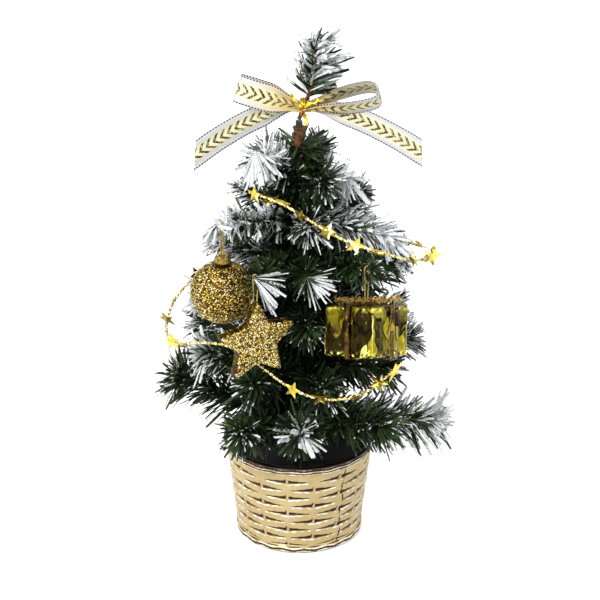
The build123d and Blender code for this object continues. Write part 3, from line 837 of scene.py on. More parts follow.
@dataclass(frozen=True)
class Branch:
    """One brush branch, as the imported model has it, and how it is dressed.

    Attributes:
        azimuth, rise: Degrees about +Z and above the level.
        length: From its root to the brush's end.
        brush: How far its needles stand out from the wire.
        hang: Where along the wire its ornament hangs; zero where it carries none.
        flock: How white it is.
        burst: Needles that fan out from its end.
        broad: Width of the fanned needles against the others.
        lift: How far its end bows up.
        sweep: Where its last needles are blown to.
        tip: How far needles may pass the wire's end.
        plume: Length added to the fanned needles.
    """

    azimuth: float
    rise: float
    length: float
    brush: float = 11.0
    hang: float = 0.0
    flock: Flock = Flock.TIPPED
    burst: int = 26
    broad: float = 1.0
    lift: float = 0.0
    sweep: Triple = (0.0, 0.0, 0.0)
    tip: float = 7.5
    plume: float = 0.0


@dataclass(frozen=True)
class Tier:
    """Branches that are bound to the trunk at one height."""

    name: str
    height: float
    branches: tuple[Branch, ...]


TIERS = (
    Tier("skirt", 72.0, (
        Branch(347, 2, 82, 12.5, flock=Flock.SNOWY, burst=50, broad=1.05, lift=1.5, tip=5.0),
        Branch(312, 15, 72, flock=Flock.LIGHT),
        Branch(272, 17, 68, flock=Flock.LIGHT, burst=20, broad=2.2, sweep=(0.05, 0.0, 0.3)),
        Branch(240, 14, 66, flock=Flock.LIGHT, burst=44),
        Branch(190, 20, 74, 13.0, flock=Flock.LIGHT, burst=90, lift=4.5),
        Branch(134, 12, 76), Branch(68, 12, 76),
    )),
    Tier("low", 104.0, (
        Branch(6, 11, 66), Branch(56, 12, 66), Branch(104, 12, 64), Branch(152, 12, 66),
        Branch(196, 12, 58, burst=34, broad=1.2), Branch(236, 6, 50, flock=Flock.LIGHT),
        Branch(286, 6, 50, flock=Flock.LIGHT), Branch(330, 10, 58, flock=Flock.LIGHT),
    )),
    Tier("middle", 136.0, (
        Branch(348, 6, 58, 10, burst=34, broad=1.3),
        Branch(28, 18, 60), Branch(78, 18, 60), Branch(128, 18, 60),
        Branch(176, 8, 58, 10, flock=Flock.SNOWY, burst=34, broad=1.3),
        Branch(278, 12, 46, 9, flock=Flock.LIGHT),
    )),
    Tier("upper", 166.0, (
        Branch(249, 16, 72, 8, 60, flock=Flock.LIGHT, burst=46, broad=1.3, sweep=(1.3, 0.0, -0.5), plume=8.0),
        Branch(277, 14, 52, 8, flock=Flock.LIGHT, burst=20, broad=1.2, sweep=(0.9, 0.0, -0.6), plume=5.0),
        Branch(307, 17, 70, 7.5, 58, flock=Flock.LIGHT), Branch(352, 3, 60, 10, burst=30, broad=1.2, tip=4.0),
        Branch(52, 18, 54, 10), Branch(112, 18, 54, 10),
        Branch(180, 14, 52, 10, flock=Flock.SNOWY, broad=1.2, tip=1.0),
    )),
    Tier("high", 192.0, (
        Branch(221, 12, 62, 8, 50, flock=Flock.SILVER, burst=30, broad=1.6, sweep=(0.2, 0.0, -0.6), tip=1.0),
        Branch(284, 14, 34, 9, broad=1.1),
        Branch(338, -4, 54, 10, flock=Flock.SILVER, burst=36, broad=1.5, sweep=(0.2, 0.0, -0.4), tip=2.0),
        Branch(24, 14, 42, 8), Branch(88, 16, 40, 10), Branch(152, 16, 42, 8, tip=1.0),
    )),
    Tier("crown", 216.0, (
        Branch(221, 42, 42, 10.5, flock=Flock.SILVER, burst=64, broad=1.05, sweep=(0.4, -0.1, -1.3)),
        Branch(300, 14, 28, 9, flock=Flock.LIGHT, burst=60),
        Branch(352, 0, 30, 9, flock=Flock.SILVER, broad=1.3, sweep=(-0.2, 0.0, -0.5), tip=3.0),
        Branch(62, 26, 28, 9), Branch(140, 26, 30, 9),
    )),
)
ROOT_REACH = 5.3  # where a branch's wire starts, from the trunk's middle


def hanging_point(azimuth: float) -> Array:
    """Point on the wire of the carrying branch nearest an azimuth, where its ornament hangs."""
    pairs = [(tier, branch) for tier in TIERS for branch in tier.branches if branch.hang]
    tier, branch = min(pairs, key=lambda pair: abs(pair[1].azimuth - azimuth))
    root = heading(branch.azimuth) * ROOT_REACH + UP * tier.height
    return root + heading(branch.azimuth, branch.rise) * branch.hang


@dataclass
class NeedleBed:
    """Needles as whole arrays, one row for each needle.

    A needle has its widths and its ridge at four stations along its length, from foot to tip.
    """

    foot: Array
    heading: Array
    flat: Array
    length: Array
    width: Array
    bend: Array
    frost: Array
    tint: Array

    STATIONS = np.array([0.0, 0.4, 0.8, 1.0])
    WIDTHS = np.array([0.5, 1.0, 0.96, 0.74])
    RIDGE = 0.15
    EDGE_LOSS = 0.85
    LEAST_LOSS = 0.62

    @staticmethod
    def join(beds: list["NeedleBed"]) -> "NeedleBed":
        """One bed from several."""
        columns = ([getattr(bed, item.name) for bed in beds] for item in fields(NeedleBed))
        return NeedleBed(*[np.concatenate(column) for column in columns])

    def keep(self, wanted: Array) -> "NeedleBed":
        """The needles that a mask wants."""
        return NeedleBed(*[getattr(self, item.name)[wanted] for item in fields(self)])

    def spine(self) -> Array:
        """Middle line of each needle: foot + t length heading + t^2 bend at each station t."""
        share = self.STATIONS[None, :, None]
        straight = self.foot[:, None] + share * (self.length[:, None] * self.heading)[:, None]
        return straight + share**2 * self.bend[:, None]

    def surface(self) -> Surface:
        """Closed strips with a low ridge: two edges and the ridge at each station, capped at both ends.

        Flock lies on the ridge and leaves the edges darker, less so on the whitest needles.

        Returns:
            The strips with their frost and tint.
        """
        spine = self.spine()
        lifted = unit(np.cross(self.heading, self.flat))
        lifted = np.where(lifted[:, 2:] < 0, -lifted, lifted)
        flat = np.cross(lifted, self.heading)
        half = 0.5 * self.width[:, None] * self.WIDTHS[None]
        edge = flat[:, None] * half[..., None]
        ridge = lifted[:, None] * (self.RIDGE * self.width[:, None] * self.WIDTHS[None] + 0.05)[..., None]
        points = np.stack([spine - edge, spine + ridge, spine + edge], axis=2)
        count, stations = spine.shape[:2]
        size = 3 * stations
        offset = size * np.arange(count)[:, None, None]
        quads = (lattice(stations, 3)[None] + offset).reshape(-1, 4)
        caps = np.array([[0, 2, 1], [size - 3, size - 2, size - 1]])
        white = smooth_step(0.0, 0.3, self.STATIONS[None] - 1.0 + self.frost[:, None])
        bared = np.clip(1.9 - self.frost, self.LEAST_LOSS, 1.0)[:, None, None]
        loss = np.array([self.EDGE_LOSS, 0.0, self.EDGE_LOSS]) * bared
        return Surface(
            points.reshape(-1, 3), quads, (caps[None] + offset).reshape(-1, 3),
            {"frost": (1.2 * white[..., None] - loss).ravel(), "tint": np.repeat(self.tint, size)},
        )


@dataclass
class Keepout:
    """Room that the hanging ornaments need, which needles are pressed out of."""

    ball: Array
    ball_radius: float
    boxes: list[tuple[Array, Array]]

    @staticmethod
    def from_frame(margin: float) -> "Keepout":
        """Reads the ornaments' boxes; the ball grows by a margin and the others shrink by five times that."""
        low, high = box_of("ball")
        boxes = [box_of(node) for node in ("gift_block", "glitter_star")]
        shrunk = [(lower + 5 * margin, upper - 5 * margin) for lower, upper in boxes]
        return Keepout((low + high) / 2, float((high - low).max() / 2) + margin, shrunk)

    def clear(self, bed: NeedleBed) -> Array:
        """Which needles stay out of the ball and of the middle of the other ornaments' boxes."""
        spine = bed.spine()
        inside = (np.linalg.norm(spine - self.ball, axis=-1) < self.ball_radius).any(1)
        for lower, upper in self.boxes:
            inside |= ((spine > lower) & (spine < upper)).all(-1).any(1)
        return ~inside


@dataclass
class Brushwork:
    """Sows needles along a wire.

    Attributes:
        chance: Seeded source of random numbers.
        spacing: Length of wire for each needle.
        reach: Length of the longest needles.
        spread: Degrees by which needles lean out from the wire.
        ending: Length at the wire's end where they close up, whiten and are swept.
    """

    chance: np.random.Generator
    spacing: float = 0.17
    reach: float = 19.0
    spread: float = 50.0
    ending: float = 18.0

    OUTWARD_SHARE = 0.62
    STRIP_WIDTHS = (0.95, 1.7)
    FILM_WIDTHS = (2.2, 3.4)
    FILM_SHARE = 0.13

    def sow(self, path: Array, branch: Branch, bare: tuple[float, float] = (0.0, 0.0)) -> NeedleBed:
        """Needles in a spiral along a path, a burst at its end and a few strips of flocked film.

        Needle k stands k golden turns round the wire and heads along cos(lean) + outward sin(lean). Near the
        end it is cut short, so that it stops at the branch's tip. It is whiter higher up and nearer the end,
        and a burst of broad needles is white nearly all over.

        Args:
            path: Evenly spaced points of the wire.
            branch: The branch that says how much flock and burst there is.
            bare: Stretch along the wire that stays bare.

        Returns:
            The needles.
        """
        chance = self.chance
        long = path_length(path)
        count, burst = int(long / self.spacing), branch.burst
        sown = np.sort(chance.uniform(1.5, long, count))
        run = np.concatenate([sown, long - chance.uniform(0, 4.0, burst)])
        total = count + burst
        ending = smooth_step(long - self.ending, long, run)
        place = run / long * (len(path) - 1)
        index = np.minimum(place.astype(int), len(path) - 2)
        share = (place - index)[:, None]
        foot = path[index] * (1 - share) + path[index + 1] * share
        along, across, lifted = (part[index] for part in path_frames(path))
        turn = (np.arange(total) * GOLDEN_TURN + chance.normal(0, 0.35, total))[:, None]
        radial = across * np.cos(turn) + lifted * np.sin(turn)
        lean = np.radians(chance.normal(self.spread, 9, total) - 9 * ending)
        lean[count:] = np.radians(chance.uniform(12, 78, burst))
        lean = np.clip(lean, 0.1, 1.35)[:, None]
        swept = ending[:, None] * np.array(branch.sweep)
        stray = 0.08 * chance.normal(size=(total, 3))
        direction = unit(along * np.cos(lean) + radial * np.sin(lean) + stray + swept)
        ahead = np.clip((long + branch.tip - run) / (self.reach * np.cos(lean[:, 0])), 0.0, 1.0)
        ahead[count:] = np.maximum(ahead[count:], 0.95 if any(branch.sweep) else 0.5)
        longest = np.full(total, min(self.reach, branch.brush / self.OUTWARD_SHARE))
        longest[count:] += branch.plume
        length = longest * chance.uniform(0.72, 1.16, total) * ahead
        flat = square_to(direction, np.cross(direction, radial) + 0.6 * chance.normal(size=(total, 3)))
        bend = -UP * chance.uniform(0.2, 2.4, (total, 1)) + 0.9 * chance.normal(size=(total, 3))
        higher = 0.5 + 0.5 * radial[:, 2]
        chosen = chance.random(total) < branch.flock.share * (0.4 + 0.5 * higher + 0.5 * ending)
        frost = branch.flock.reach * chance.uniform(0.5, 1.3, total) * (0.65 + 0.6 * ending)
        frost = np.where(chosen, np.clip(frost, 0.0, 1.5), 0.0)
        if branch.broad > 1.1:
            frost[count:] = chance.uniform(0.8, 1.45, burst)
        # Needles nearer the trunk have a lower tint, as painted shade inside the tree.
        tint = np.clip(chance.beta(1.3, 2.6, total) * (0.45 + 0.75 * np.clip(run / 45.0, 0, 1)), 0, 1)
        width = chance.uniform(*self.STRIP_WIDTHS, total)
        width[count:] *= branch.broad
        film = (chance.random(total) < self.FILM_SHARE) & (branch.flock is Flock.SILVER)
        width = np.where(film, chance.uniform(*self.FILM_WIDTHS, total), width)
        bed = NeedleBed(foot, direction, flat, length, width, bend, frost, tint)
        return bed.keep((run < bare[0]) | (run > bare[1]))


@dataclass
class BranchWork:
    """Dresses every branch: twisted wire, needle brush and a crust of flock at its end."""

    wire_radius: float = 0.62
    pitch: float = 4.0
    overhang: float = 8.0
    bare_half: float = 2.2
    keepout: Keepout = field(default_factory=lambda: Keepout.from_frame(1.2))

    def wire_path(self, tier: Tier, branch: Branch) -> Array:
        """Wire from the trunk out: a line that sways by t sin(4.2 t + azimuth) and bows by lift t^2."""
        out, side = heading(branch.azimuth, branch.rise), heading(branch.azimuth + 90)
        along = np.linspace(0, branch.length - self.overhang, 40)[:, None]
        root = heading(branch.azimuth) * ROOT_REACH + UP * tier.height
        share = along / (branch.length - self.overhang)
        sway = side * np.sin(share * 4.2 + branch.azimuth) * share * (0.2 if branch.hang else 1.1)
        return root + out * along + sway + UP * share**2 * branch.lift

    def twisted_wire(self, path: Array) -> Surface:
        """Two wires wound together: radius r (1 + 0.3 cos(2a - 2 pi s / pitch)) round the path."""
        fine, run, turn = wound(path, 0.7, 10)
        radius = self.wire_radius * (1 + 0.3 * np.cos(2 * turn - 2 * np.pi * run / self.pitch))
        return tube(fine, radius, 10, reference=ASLANT)

    def flock_crust(self, path: Array, chance: np.random.Generator, size: float) -> Surface:
        """Crust of flock round the wire's end: a tube whose radius swells and is rough with noise.

        Args:
            path: Points of the wire.
            chance: Seeded source of random numbers.
            size: Radius of the crust before it swells.

        Returns:
            The closed crust, all white.
        """
        crust = path[-14:]
        share = np.linspace(0, 1, len(crust))[:, None]
        rough = 1 + 0.35 * chance.normal(size=(len(crust), 12))
        swell = 0.5 + np.sqrt(np.clip(1 - (2 * share - 1.1) ** 2, 0.02, 1))
        radius = size * swell * np.clip(rough, 0.5, 1.6)
        tone = np.ones((len(crust), 12))
        return tube(crust, radius, 12, reference=ASLANT, frost=tone, tint=tone)

    def dress(self, tier: Tier, number: int, branch: Branch, seed: int) -> int:
        """Makes one branch's needles and wire.

        Args:
            tier: The tier that it grows from.
            number: Its number in the tier.
            branch: The branch.
            seed: Seed of its random numbers.

        Returns:
            How many needles it has.
        """
        node = f"branch_{tier.name}_{number}"
        chance = np.random.default_rng(seed)
        path = self.wire_path(tier, branch)
        bare = (0.0, 0.0)
        if branch.hang:
            bare = (branch.hang - self.bare_half, branch.hang + self.bare_half)
        bed = Brushwork(chance).sow(path, branch, bare)
        bed = bed.keep(self.keepout.clear(bed))
        parts = [bed.surface()]
        if branch.flock is not Flock.LIGHT:
            parts.append(self.flock_crust(path, chance, 0.5 * branch.broad))
        body = node if node in frame["bodies"] else TREE_BODY
        needles = Surface.join(parts).to_object(f"needles_{tier.name}_{number}", NEEDLE_FILM, smooth=False)
        wire = self.twisted_wire(path).to_object(f"wire_{tier.name}_{number}", WIRE)
        declare(needles, body, "needles", node)
        declare(wire, body, "wire")
        return len(bed.length)

    def build(self) -> None:
        """Makes every branch and puts it on its own body, or on the tree's."""
        for row, tier in enumerate(TIERS):
            counts = [
                self.dress(tier, number, branch, 100 * row + number)
                for number, branch in enumerate(tier.branches, start=1)
            ]
            LOG.info("tier %s: %d needles on %d branches", tier.name, sum(counts), len(counts))


@dataclass
class LeaderWork:
    """The top twig above the bow, and the needles bound in along the trunk."""

    trunk_top: float = 248.0
    tree_height: float = 300.0
    lean: float = 13.0
    bare: float = 13.0
    wire_radius: float = 1.0
    pitch: float = 3.4
    inner_count: int = 3800
    inner_low: float = 66.0
    inner_high: float = 235.0
    inner_foot: float = 3.1
    seed: int = 7

    def wire_path(self) -> Array:
        """Leaning line from the top of the trunk with a small sway."""
        out = heading(0.0, 90.0 - self.lean)
        long = (self.tree_height - self.trunk_top) / math.cos(math.radians(self.lean)) - 10.0
        along = np.linspace(0, long, 36)[:, None]
        root = np.array([0.0, 0.0, self.trunk_top + 1.1])
        sway = heading(0.0) * 2.4 * np.sin(np.pi * along / long) + heading(90.0) * 0.5 * np.sin(along / 14)
        return root + out * along + sway

    def core(self, path: Array) -> Surface:
        """Wire wound with paper: radius r (1 + 0.22 lap), where lap turns as a helix."""
        fine, run, turn = wound(path, 0.6, 14)
        lap = 0.5 + 0.5 * np.cos(turn - 2 * np.pi * run / self.pitch)
        forward = np.array([0.0, 1.0, 0.0])
        # The stored lap is highest in the hollows between turns, where the tape is painted darker as shade.
        return tube(fine, self.wire_radius * (1 + 0.22 * lap), 14, reference=forward, lap=0.5 * (1 - lap))

    def top_needles(self, path: Array, chance: np.random.Generator) -> NeedleBed:
        """Broad silvery strips that fan up and out, and finer green ones between them.

        Args:
            path: Points of the twig's wire.
            chance: Seeded source of random numbers.

        Returns:
            The needles of both kinds.
        """
        broad = Branch(0, 77, 52, 10.5, flock=Flock.SILVER, burst=22, broad=1.5, tip=4.0)
        brush = Brushwork(chance, spacing=0.22, reach=18.0, spread=60.0)
        silver = brush.sow(path, broad, (0.0, self.bare))
        silver.width *= 1.3
        fine = Branch(0, 77, 52, 9.5, flock=Flock.LIGHT, burst=16, tip=4.0)
        brush = Brushwork(chance, spacing=0.8, reach=15.0, spread=58.0)
        green = brush.sow(path, fine, (0.0, self.bare))
        both = NeedleBed.join([silver, green])
        both.bend = both.bend * 0.6 + UP * 1.2 + heading(0.0) * 3.0
        return both

    def trunk_needles(self, chance: np.random.Generator) -> NeedleBed:
        """Needles bound in with the branches, all round the trunk from the skirt to the bow."""
        count = self.inner_count
        height = chance.uniform(self.inner_low, self.inner_high, count)
        azimuth = chance.uniform(0, 360, count)
        out = heading(azimuth)
        direction = heading(azimuth, chance.uniform(-25, 50, count))
        flat = square_to(direction, np.cross(direction, UP) + 0.6 * chance.normal(size=(count, 3)))
        length = chance.uniform(11, 20, count) * np.interp(height, [66, 200, 236], [1.3, 1.0, 0.8])
        bend = -UP * chance.uniform(0, 3, (count, 1)) + 0.8 * chance.normal(size=(count, 3))
        # Tint is low inside the tree as painted shade, and rises towards the top where more light falls.
        tint = chance.beta(1.2, 4.5, count) * np.interp(height, [66, 180, 205, 236], [0.5, 0.5, 1.2, 2.0])
        foot = out * self.inner_foot + UP * height[:, None]
        width = chance.uniform(1.0, 1.9, count)
        return NeedleBed(foot, direction, flat, length, width, bend, np.zeros(count), np.clip(tint, 0, 1))

    def build(self) -> None:
        """Makes the twig's core, its flocked brush and the trunk's inner needles."""
        chance = np.random.default_rng(self.seed)
        path = self.wire_path()
        bed = self.top_needles(path, chance)
        core = self.core(path).to_object("leader_core", TAPE)
        brush = bed.surface().to_object("needles_leader", NEEDLE_FILM, smooth=False)
        inner = self.trunk_needles(chance).surface().to_object("needles_trunk", NEEDLE_FILM, smooth=False)
        declare(core, TREE_BODY, "wire", "leader_wire")
        declare(brush, TREE_BODY, "needles", "leader_brush")
        declare(inner, TREE_BODY, "needles")
        LOG.info("leader: %d needles", len(bed.length))


# ---- pot and trunk
@dataclass
class Pot:
    """Moulded basket-weave pot, its plaster and the taped trunk."""

    height: float = 58.0
    rim_radius: float = 41.2
    base_radius: float = 34.1
    wall: float = 1.6
    floor: float = 2.0
    rim_roll: float = 1.8
    rim_height: float = 5.4
    base_roll: float = 1.4
    base_height: float = 4.6
    stakes: int = 16
    first_stake: float = 13.2
    band: float = 5.35
    first_gap: float = 5.0
    slit_half_length: float = 12.8
    slit_half_height: float = 1.2
    slit_depth: float = 1.3
    wall_relief: float = 0.3
    weave_relief: float = 0.2
    seam_azimuth: float = 309.0
    columns: int = 512
    tape_low: float = 46.0
    tape_high: float = 245.05
    tape_radius: float = 3.0
    tape_swell: float = 0.9
    tape_pitch: float = 5.5

    def cone(self, height: Array) -> Array:
        """Radius of the plain outside at a height."""
        return self.base_radius + (self.rim_radius - self.base_radius) * height / self.height

    def slits(self, angle: Array, height: Array) -> dict[str, Array]:
        """Lens-shaped gaps, brick-wise on alternate stakes.

        At a distance x along the wall from a stake the lens's half height is h (1 - |x| / l) to the power
        0.9. A point is in the gap where it is nearer in height to the gap's middle than that.

        Args:
            angle: Angles about +Z in radians.
            height: Heights in millimetres.

        Returns:
            Shares from 0 to 1: in the gap, under its upper edge where shadow is painted, on the stake in it,
                on the raised
            edge below it where a highlight is painted, and on the marks beside its stake.
        """
        shape = np.broadcast(angle, height).shape
        found = {name: np.zeros(shape) for name in ("gap", "deep", "stake", "lip", "mark")}
        pitch = 2 * np.pi / self.stakes
        within = (height > self.base_height + 0.4) & (height < self.height - self.rim_height - 1.6)
        for parity in (0, 1):
            off = (angle - math.radians(self.first_stake) - parity * pitch + pitch) % (2 * pitch) - pitch
            run = np.abs(off) * self.cone(height)
            start = self.first_gap + (1 - parity) * self.band
            level = (height - start + self.band) % (2 * self.band) - self.band
            half = self.slit_half_height * np.clip(1 - run / self.slit_half_length, 0, 1) ** 0.9
            near = (run < self.slit_half_length) * within
            gap = smooth_step(-0.3, 0.08, half - np.abs(level)) * near
            patchy = 0.55 + 0.45 * np.sin(17.0 * angle + 1.3 * height) * np.sin(31.0 * angle)
            # The lips below the slits are raised a little, and the finish paints a highlight on them.
            lip = smooth_step(0.42, 0.12, np.abs(level + half + 0.42)) * near * patchy
            stake = smooth_step(1.0, 0.6, run) * smooth_step(-1.3, -0.9, level) * smooth_step(1.4, 1.0, level)
            beside = np.abs(off * self.cone(height) + 1.0)
            mark = smooth_step(0.45, 0.15, beside) * within
            mark = mark * smooth_step(-0.8, 0.0, level) * smooth_step(3.0, 2.2, level)
            # deep marks the gap's upper part, where the finish paints black shadow under the edge.
            for name, value in (
                ("gap", gap), ("deep", gap * smooth_step(-0.5, 0.35, level)), ("stake", stake * within),
                ("lip", lip), ("mark", mark),
            ):
                found[name] = np.maximum(found[name], value)
        return found

    def border(self, share: Array, angle: Array, strands: float, waves: int) -> Array:
        """Braided border: |sin(pi strands t + 0.5 sin(waves a) sin(pi t))| at a share t of its height."""
        return np.abs(np.sin(np.pi * strands * share + 0.5 * np.sin(waves * angle) * np.sin(np.pi * share)))

    def outside(self) -> tuple[Array, Array, Array, Array]:
        """The outer wall from the ground to the top of the rim.

        Returns:
            Heights by the row; radius, groove with its painted shade, and the painted highlights of the lips,
            by the point.
        """
        angle = around(self.columns)
        rim_start = self.height - self.rim_height
        up = np.unique(np.concatenate([
            np.linspace(0, self.base_height, 12), np.arange(self.base_height, rim_start, 0.4),
            np.linspace(rim_start, self.height, 18),
        ]))[:, None]
        cut = self.slits(angle, up)
        weave = self.weave_relief * np.cos(self.stakes / 2 * (angle - math.radians(self.first_stake)))
        weave = weave * np.cos(np.pi * (up - self.first_gap) / self.band)
        rim_share = np.clip((up - rim_start) / self.rim_height, 0, 1)
        base_share = np.clip(up / self.base_height, 0, 1)
        on_rim, on_base = up > rim_start, up < self.base_height
        rim_braid = self.border(rim_share, angle, 3, 20)
        base_braid = self.border(base_share, angle, 2, 18)
        relief = self.wall_relief + weave - self.slit_depth * cut["gap"]
        relief = relief + 1.2 * cut["gap"] * cut["stake"] + 0.2 * cut["lip"]
        rim = self.rim_roll * (0.4 + 0.55 * rim_braid) * np.sin(np.pi * rim_share) ** 0.35
        base = self.base_roll * (0.4 + 0.55 * base_braid) * np.sin(np.pi * base_share) ** 0.4
        relief = np.where(on_rim, rim, np.where(on_base, base, relief))
        wander = 0.02 * np.sin(up * 0.35) + 0.006 * np.sin(up * 2.3)
        seam = (angle - math.radians(self.seam_azimuth) + wander + np.pi) % (2 * np.pi) - np.pi
        seam = smooth_step(0.75, 0.3, np.abs(seam) * self.cone(up)) * (0.7 + 0.3 * np.sin(up * 0.8))
        # Slits: brown, partly the plastic's own and partly painted shade, with black painted shadow under
        # their upper edges.
        groove = 0.72 * cut["gap"] + 0.5 * cut["deep"]
        groove = np.maximum(groove * (1 - cut["stake"]), 0.85 * cut["mark"])
        groove = np.maximum(groove, 0.95 * seam * ~on_rim)
        streak = 0.5 + 0.5 * np.sin(9.0 * angle + 2.0 * rim_share) * np.sin(23.0 * angle + 1.0)
        # Rim: painted shade in the dark lines between the braid's strands, and darker towards the rim's top.
        rim_painted_shade = 1.7 * smooth_step(0.78, 0.35, rim_braid) * (0.72 + 0.28 * streak)
        groove = np.where(on_rim, rim_painted_shade + 0.9 * rim_share**3, groove)
        # Base: painted shade between its strands, and a painted contact shadow along the bottom edge.
        base_painted_shade = 1.7 * smooth_step(0.75, 0.35, base_braid) * (0.7 + 0.3 * streak)
        groove = np.where(on_base, base_painted_shade + 1.1 * (1 - base_share) ** 4, groove)
        # Painted highlights on the braids' crests, joined to the painted highlights on the slits' lips.
        glint = smooth_step(0.86, 0.98, rim_braid) * on_rim + smooth_step(0.8, 0.98, base_braid) * on_base
        lip = np.maximum(cut["lip"], glint * (0.35 + 0.65 * (1 - streak)))
        return up, self.cone(up) + relief - 0.3 * seam, groove, lip

    def shell(self) -> Surface:
        """The pot from the middle of its floor, up the outside, over the rim and down the inside."""
        columns = self.columns
        up, outer, groove, lip = self.outside()
        down = [(self.height, 0.0), (self.height - 0.6, 0.2), (54.5, 0.0), (53.5, 0.0), (20.0, 0.0),
                (self.floor + 0.8, 0.2), (self.floor, 1.0)]
        inner_up, inset = (np.array(column)[:, None] for column in zip(*down))
        inner = self.cone(inner_up) - self.wall - inset
        underside, bottom = np.array([[4.0], [20.0], [self.base_radius - 0.6]]), np.array([[20.0], [4.0]])
        rings_r = [underside, outer, inner, bottom]
        rings_z = [np.zeros((3, 1)), up, inner_up, np.full((2, 1), self.floor)]
        across = np.vstack([np.broadcast_to(part, (len(part), columns)) for part in rings_r])
        rise = np.vstack([np.broadcast_to(part, (len(part), columns)) for part in rings_z])
        below, above = np.zeros((3, columns)), np.zeros((9, columns))
        # inside: the inner wall and floor, near black as painted shade over the plastic's dark inside, fading
        # in below the rim.
        within = np.vstack([np.zeros((3 + len(up), columns)), np.ones((9, columns))])
        within[3 + len(up):6 + len(up)] = np.array([[0.0], [0.1], [0.4]])
        above[:3] = 0.78
        return closed(
            turned(across, rise, columns), groove=np.vstack([below, groove, above]),
            lip=np.vstack([below, lip, 0 * above]), inside=within,
        )

    def tape(self) -> Surface:
        """Trunk tape: a ring profile thicker at each tier, with a helical lap, creases and lumps on top."""
        columns = 40
        up = np.arange(self.tape_low, self.tape_high, 0.55)[:, None]
        angle = around(columns)
        radius = self.tape_radius + 0 * up
        for tier in TIERS:
            radius = radius + self.tape_swell * smooth_step(5.0, 2.6, np.abs(up - tier.height))
        phase = (up / self.tape_pitch + angle / (2 * np.pi)) % 1.0
        # lap marks the edge where one turn lies over the next, which the tape paints darker as shade.
        lap = smooth_step(0.14, 0.0, phase) + smooth_step(0.9, 1.0, phase)
        crease = 0.10 * np.sin(angle * 5 + up * 0.8) * np.sin(up * 1.7 + angle)
        lumps = 0.55 * np.sin(up * 0.62) * np.sin(angle * 2 + up * 0.21) * smooth_step(205, 228, up)
        return closed(turned(radius + 0.18 * phase + crease + lumps, up, columns), lap=np.clip(lap, 0, 1))

    def build(self) -> None:
        """Makes the pot and the trunk, and finishes the plaster and the pole."""
        pot = self.shell().to_object("pot", POT_GOLD)
        declare(pot, TREE_BODY, "pot_gold", "pot_shell")
        declare(self.tape().to_object("trunk_winding", TAPE), TREE_BODY, "tape", "trunk_tape")
        finish_node("pot_ballast", PLASTER)
        finish_node("trunk_pole", WIRE)
        LOG.info("pot: %d points", len(pot.data.vertices))


# ---- bow
@dataclass
class Ribbon:
    """A run of ribbon: its middle line, the way its width points, and its gathers."""

    middle: Array
    across: Array
    width: Array
    gild: Array
    slant: float = 0.0
    flat_width: float = 15.5

    def surface(self) -> Surface:
        """Sheet p(u, v) = c(u) + w(u) (v - 1/2) d(u) + a(u) sin(4 pi v) n(u), cut aslant at its end.

        The gather a grows as the width w shrinks, so that the cloth keeps its own width.

        Returns:
            The open sheet with UV in ribbon widths and how golden it is.
        """
        rows, columns = len(self.middle), 33
        v = np.linspace(0, 1, columns)[None, :, None]
        along = unit(np.gradient(self.middle, axis=0))
        across = square_to(along, self.across)
        facing = np.cross(along, across)
        spare = np.sqrt(np.clip(self.flat_width**2 - self.width**2, 0, None))
        gather = (spare / 9.5)[:, None, None] * np.sin(4 * np.pi * v)
        share = np.linspace(0, 1, rows)[:, None, None]
        cut = self.slant * share**6 * (0.5 - v)
        points = (
            self.middle[:, None] + self.width[:, None, None] * (v - 0.5) * across[:, None]
            + gather * facing[:, None] + cut * along[:, None]
        )
        run = np.concatenate([[0], np.cumsum(np.linalg.norm(np.diff(self.middle, axis=0), axis=1))])
        u = (run[:, None, None] + cut) / self.flat_width
        uv = np.concatenate([u, np.broadcast_to(v, u.shape)], axis=-1).reshape(-1, 2)
        gild = np.broadcast_to(self.gild[:, None], (rows, columns))
        quads = lattice(rows, columns, close_columns=False)
        return Surface(points.reshape(-1, 3), quads, values={"gild": gild.ravel()}, uv=uv)


def curve_through(points: Array | list, count: int) -> Array:
    """Even points on a smooth line through a few: Catmull-Rom pieces between them.

    Args:
        points: The points to pass through.
        count: Number of points wanted.

    Returns:
        The points of the line.
    """
    knots = np.array(points, float)
    knots = np.vstack([2 * knots[0] - knots[1], knots, 2 * knots[-1] - knots[-2]])
    place = np.linspace(0, len(points) - 1 - 1e-6, count * 3)
    index = place.astype(int)
    t = (place - index)[:, None]
    a, b, c, d = (knots[index + step] for step in range(4))
    line = 0.5 * (2 * b + (c - a) * t + (2 * a - 5 * b + 4 * c - d) * t**2 + (3 * b - a - 3 * c + d) * t**3)
    return resampled(line, path_length(line) / count)


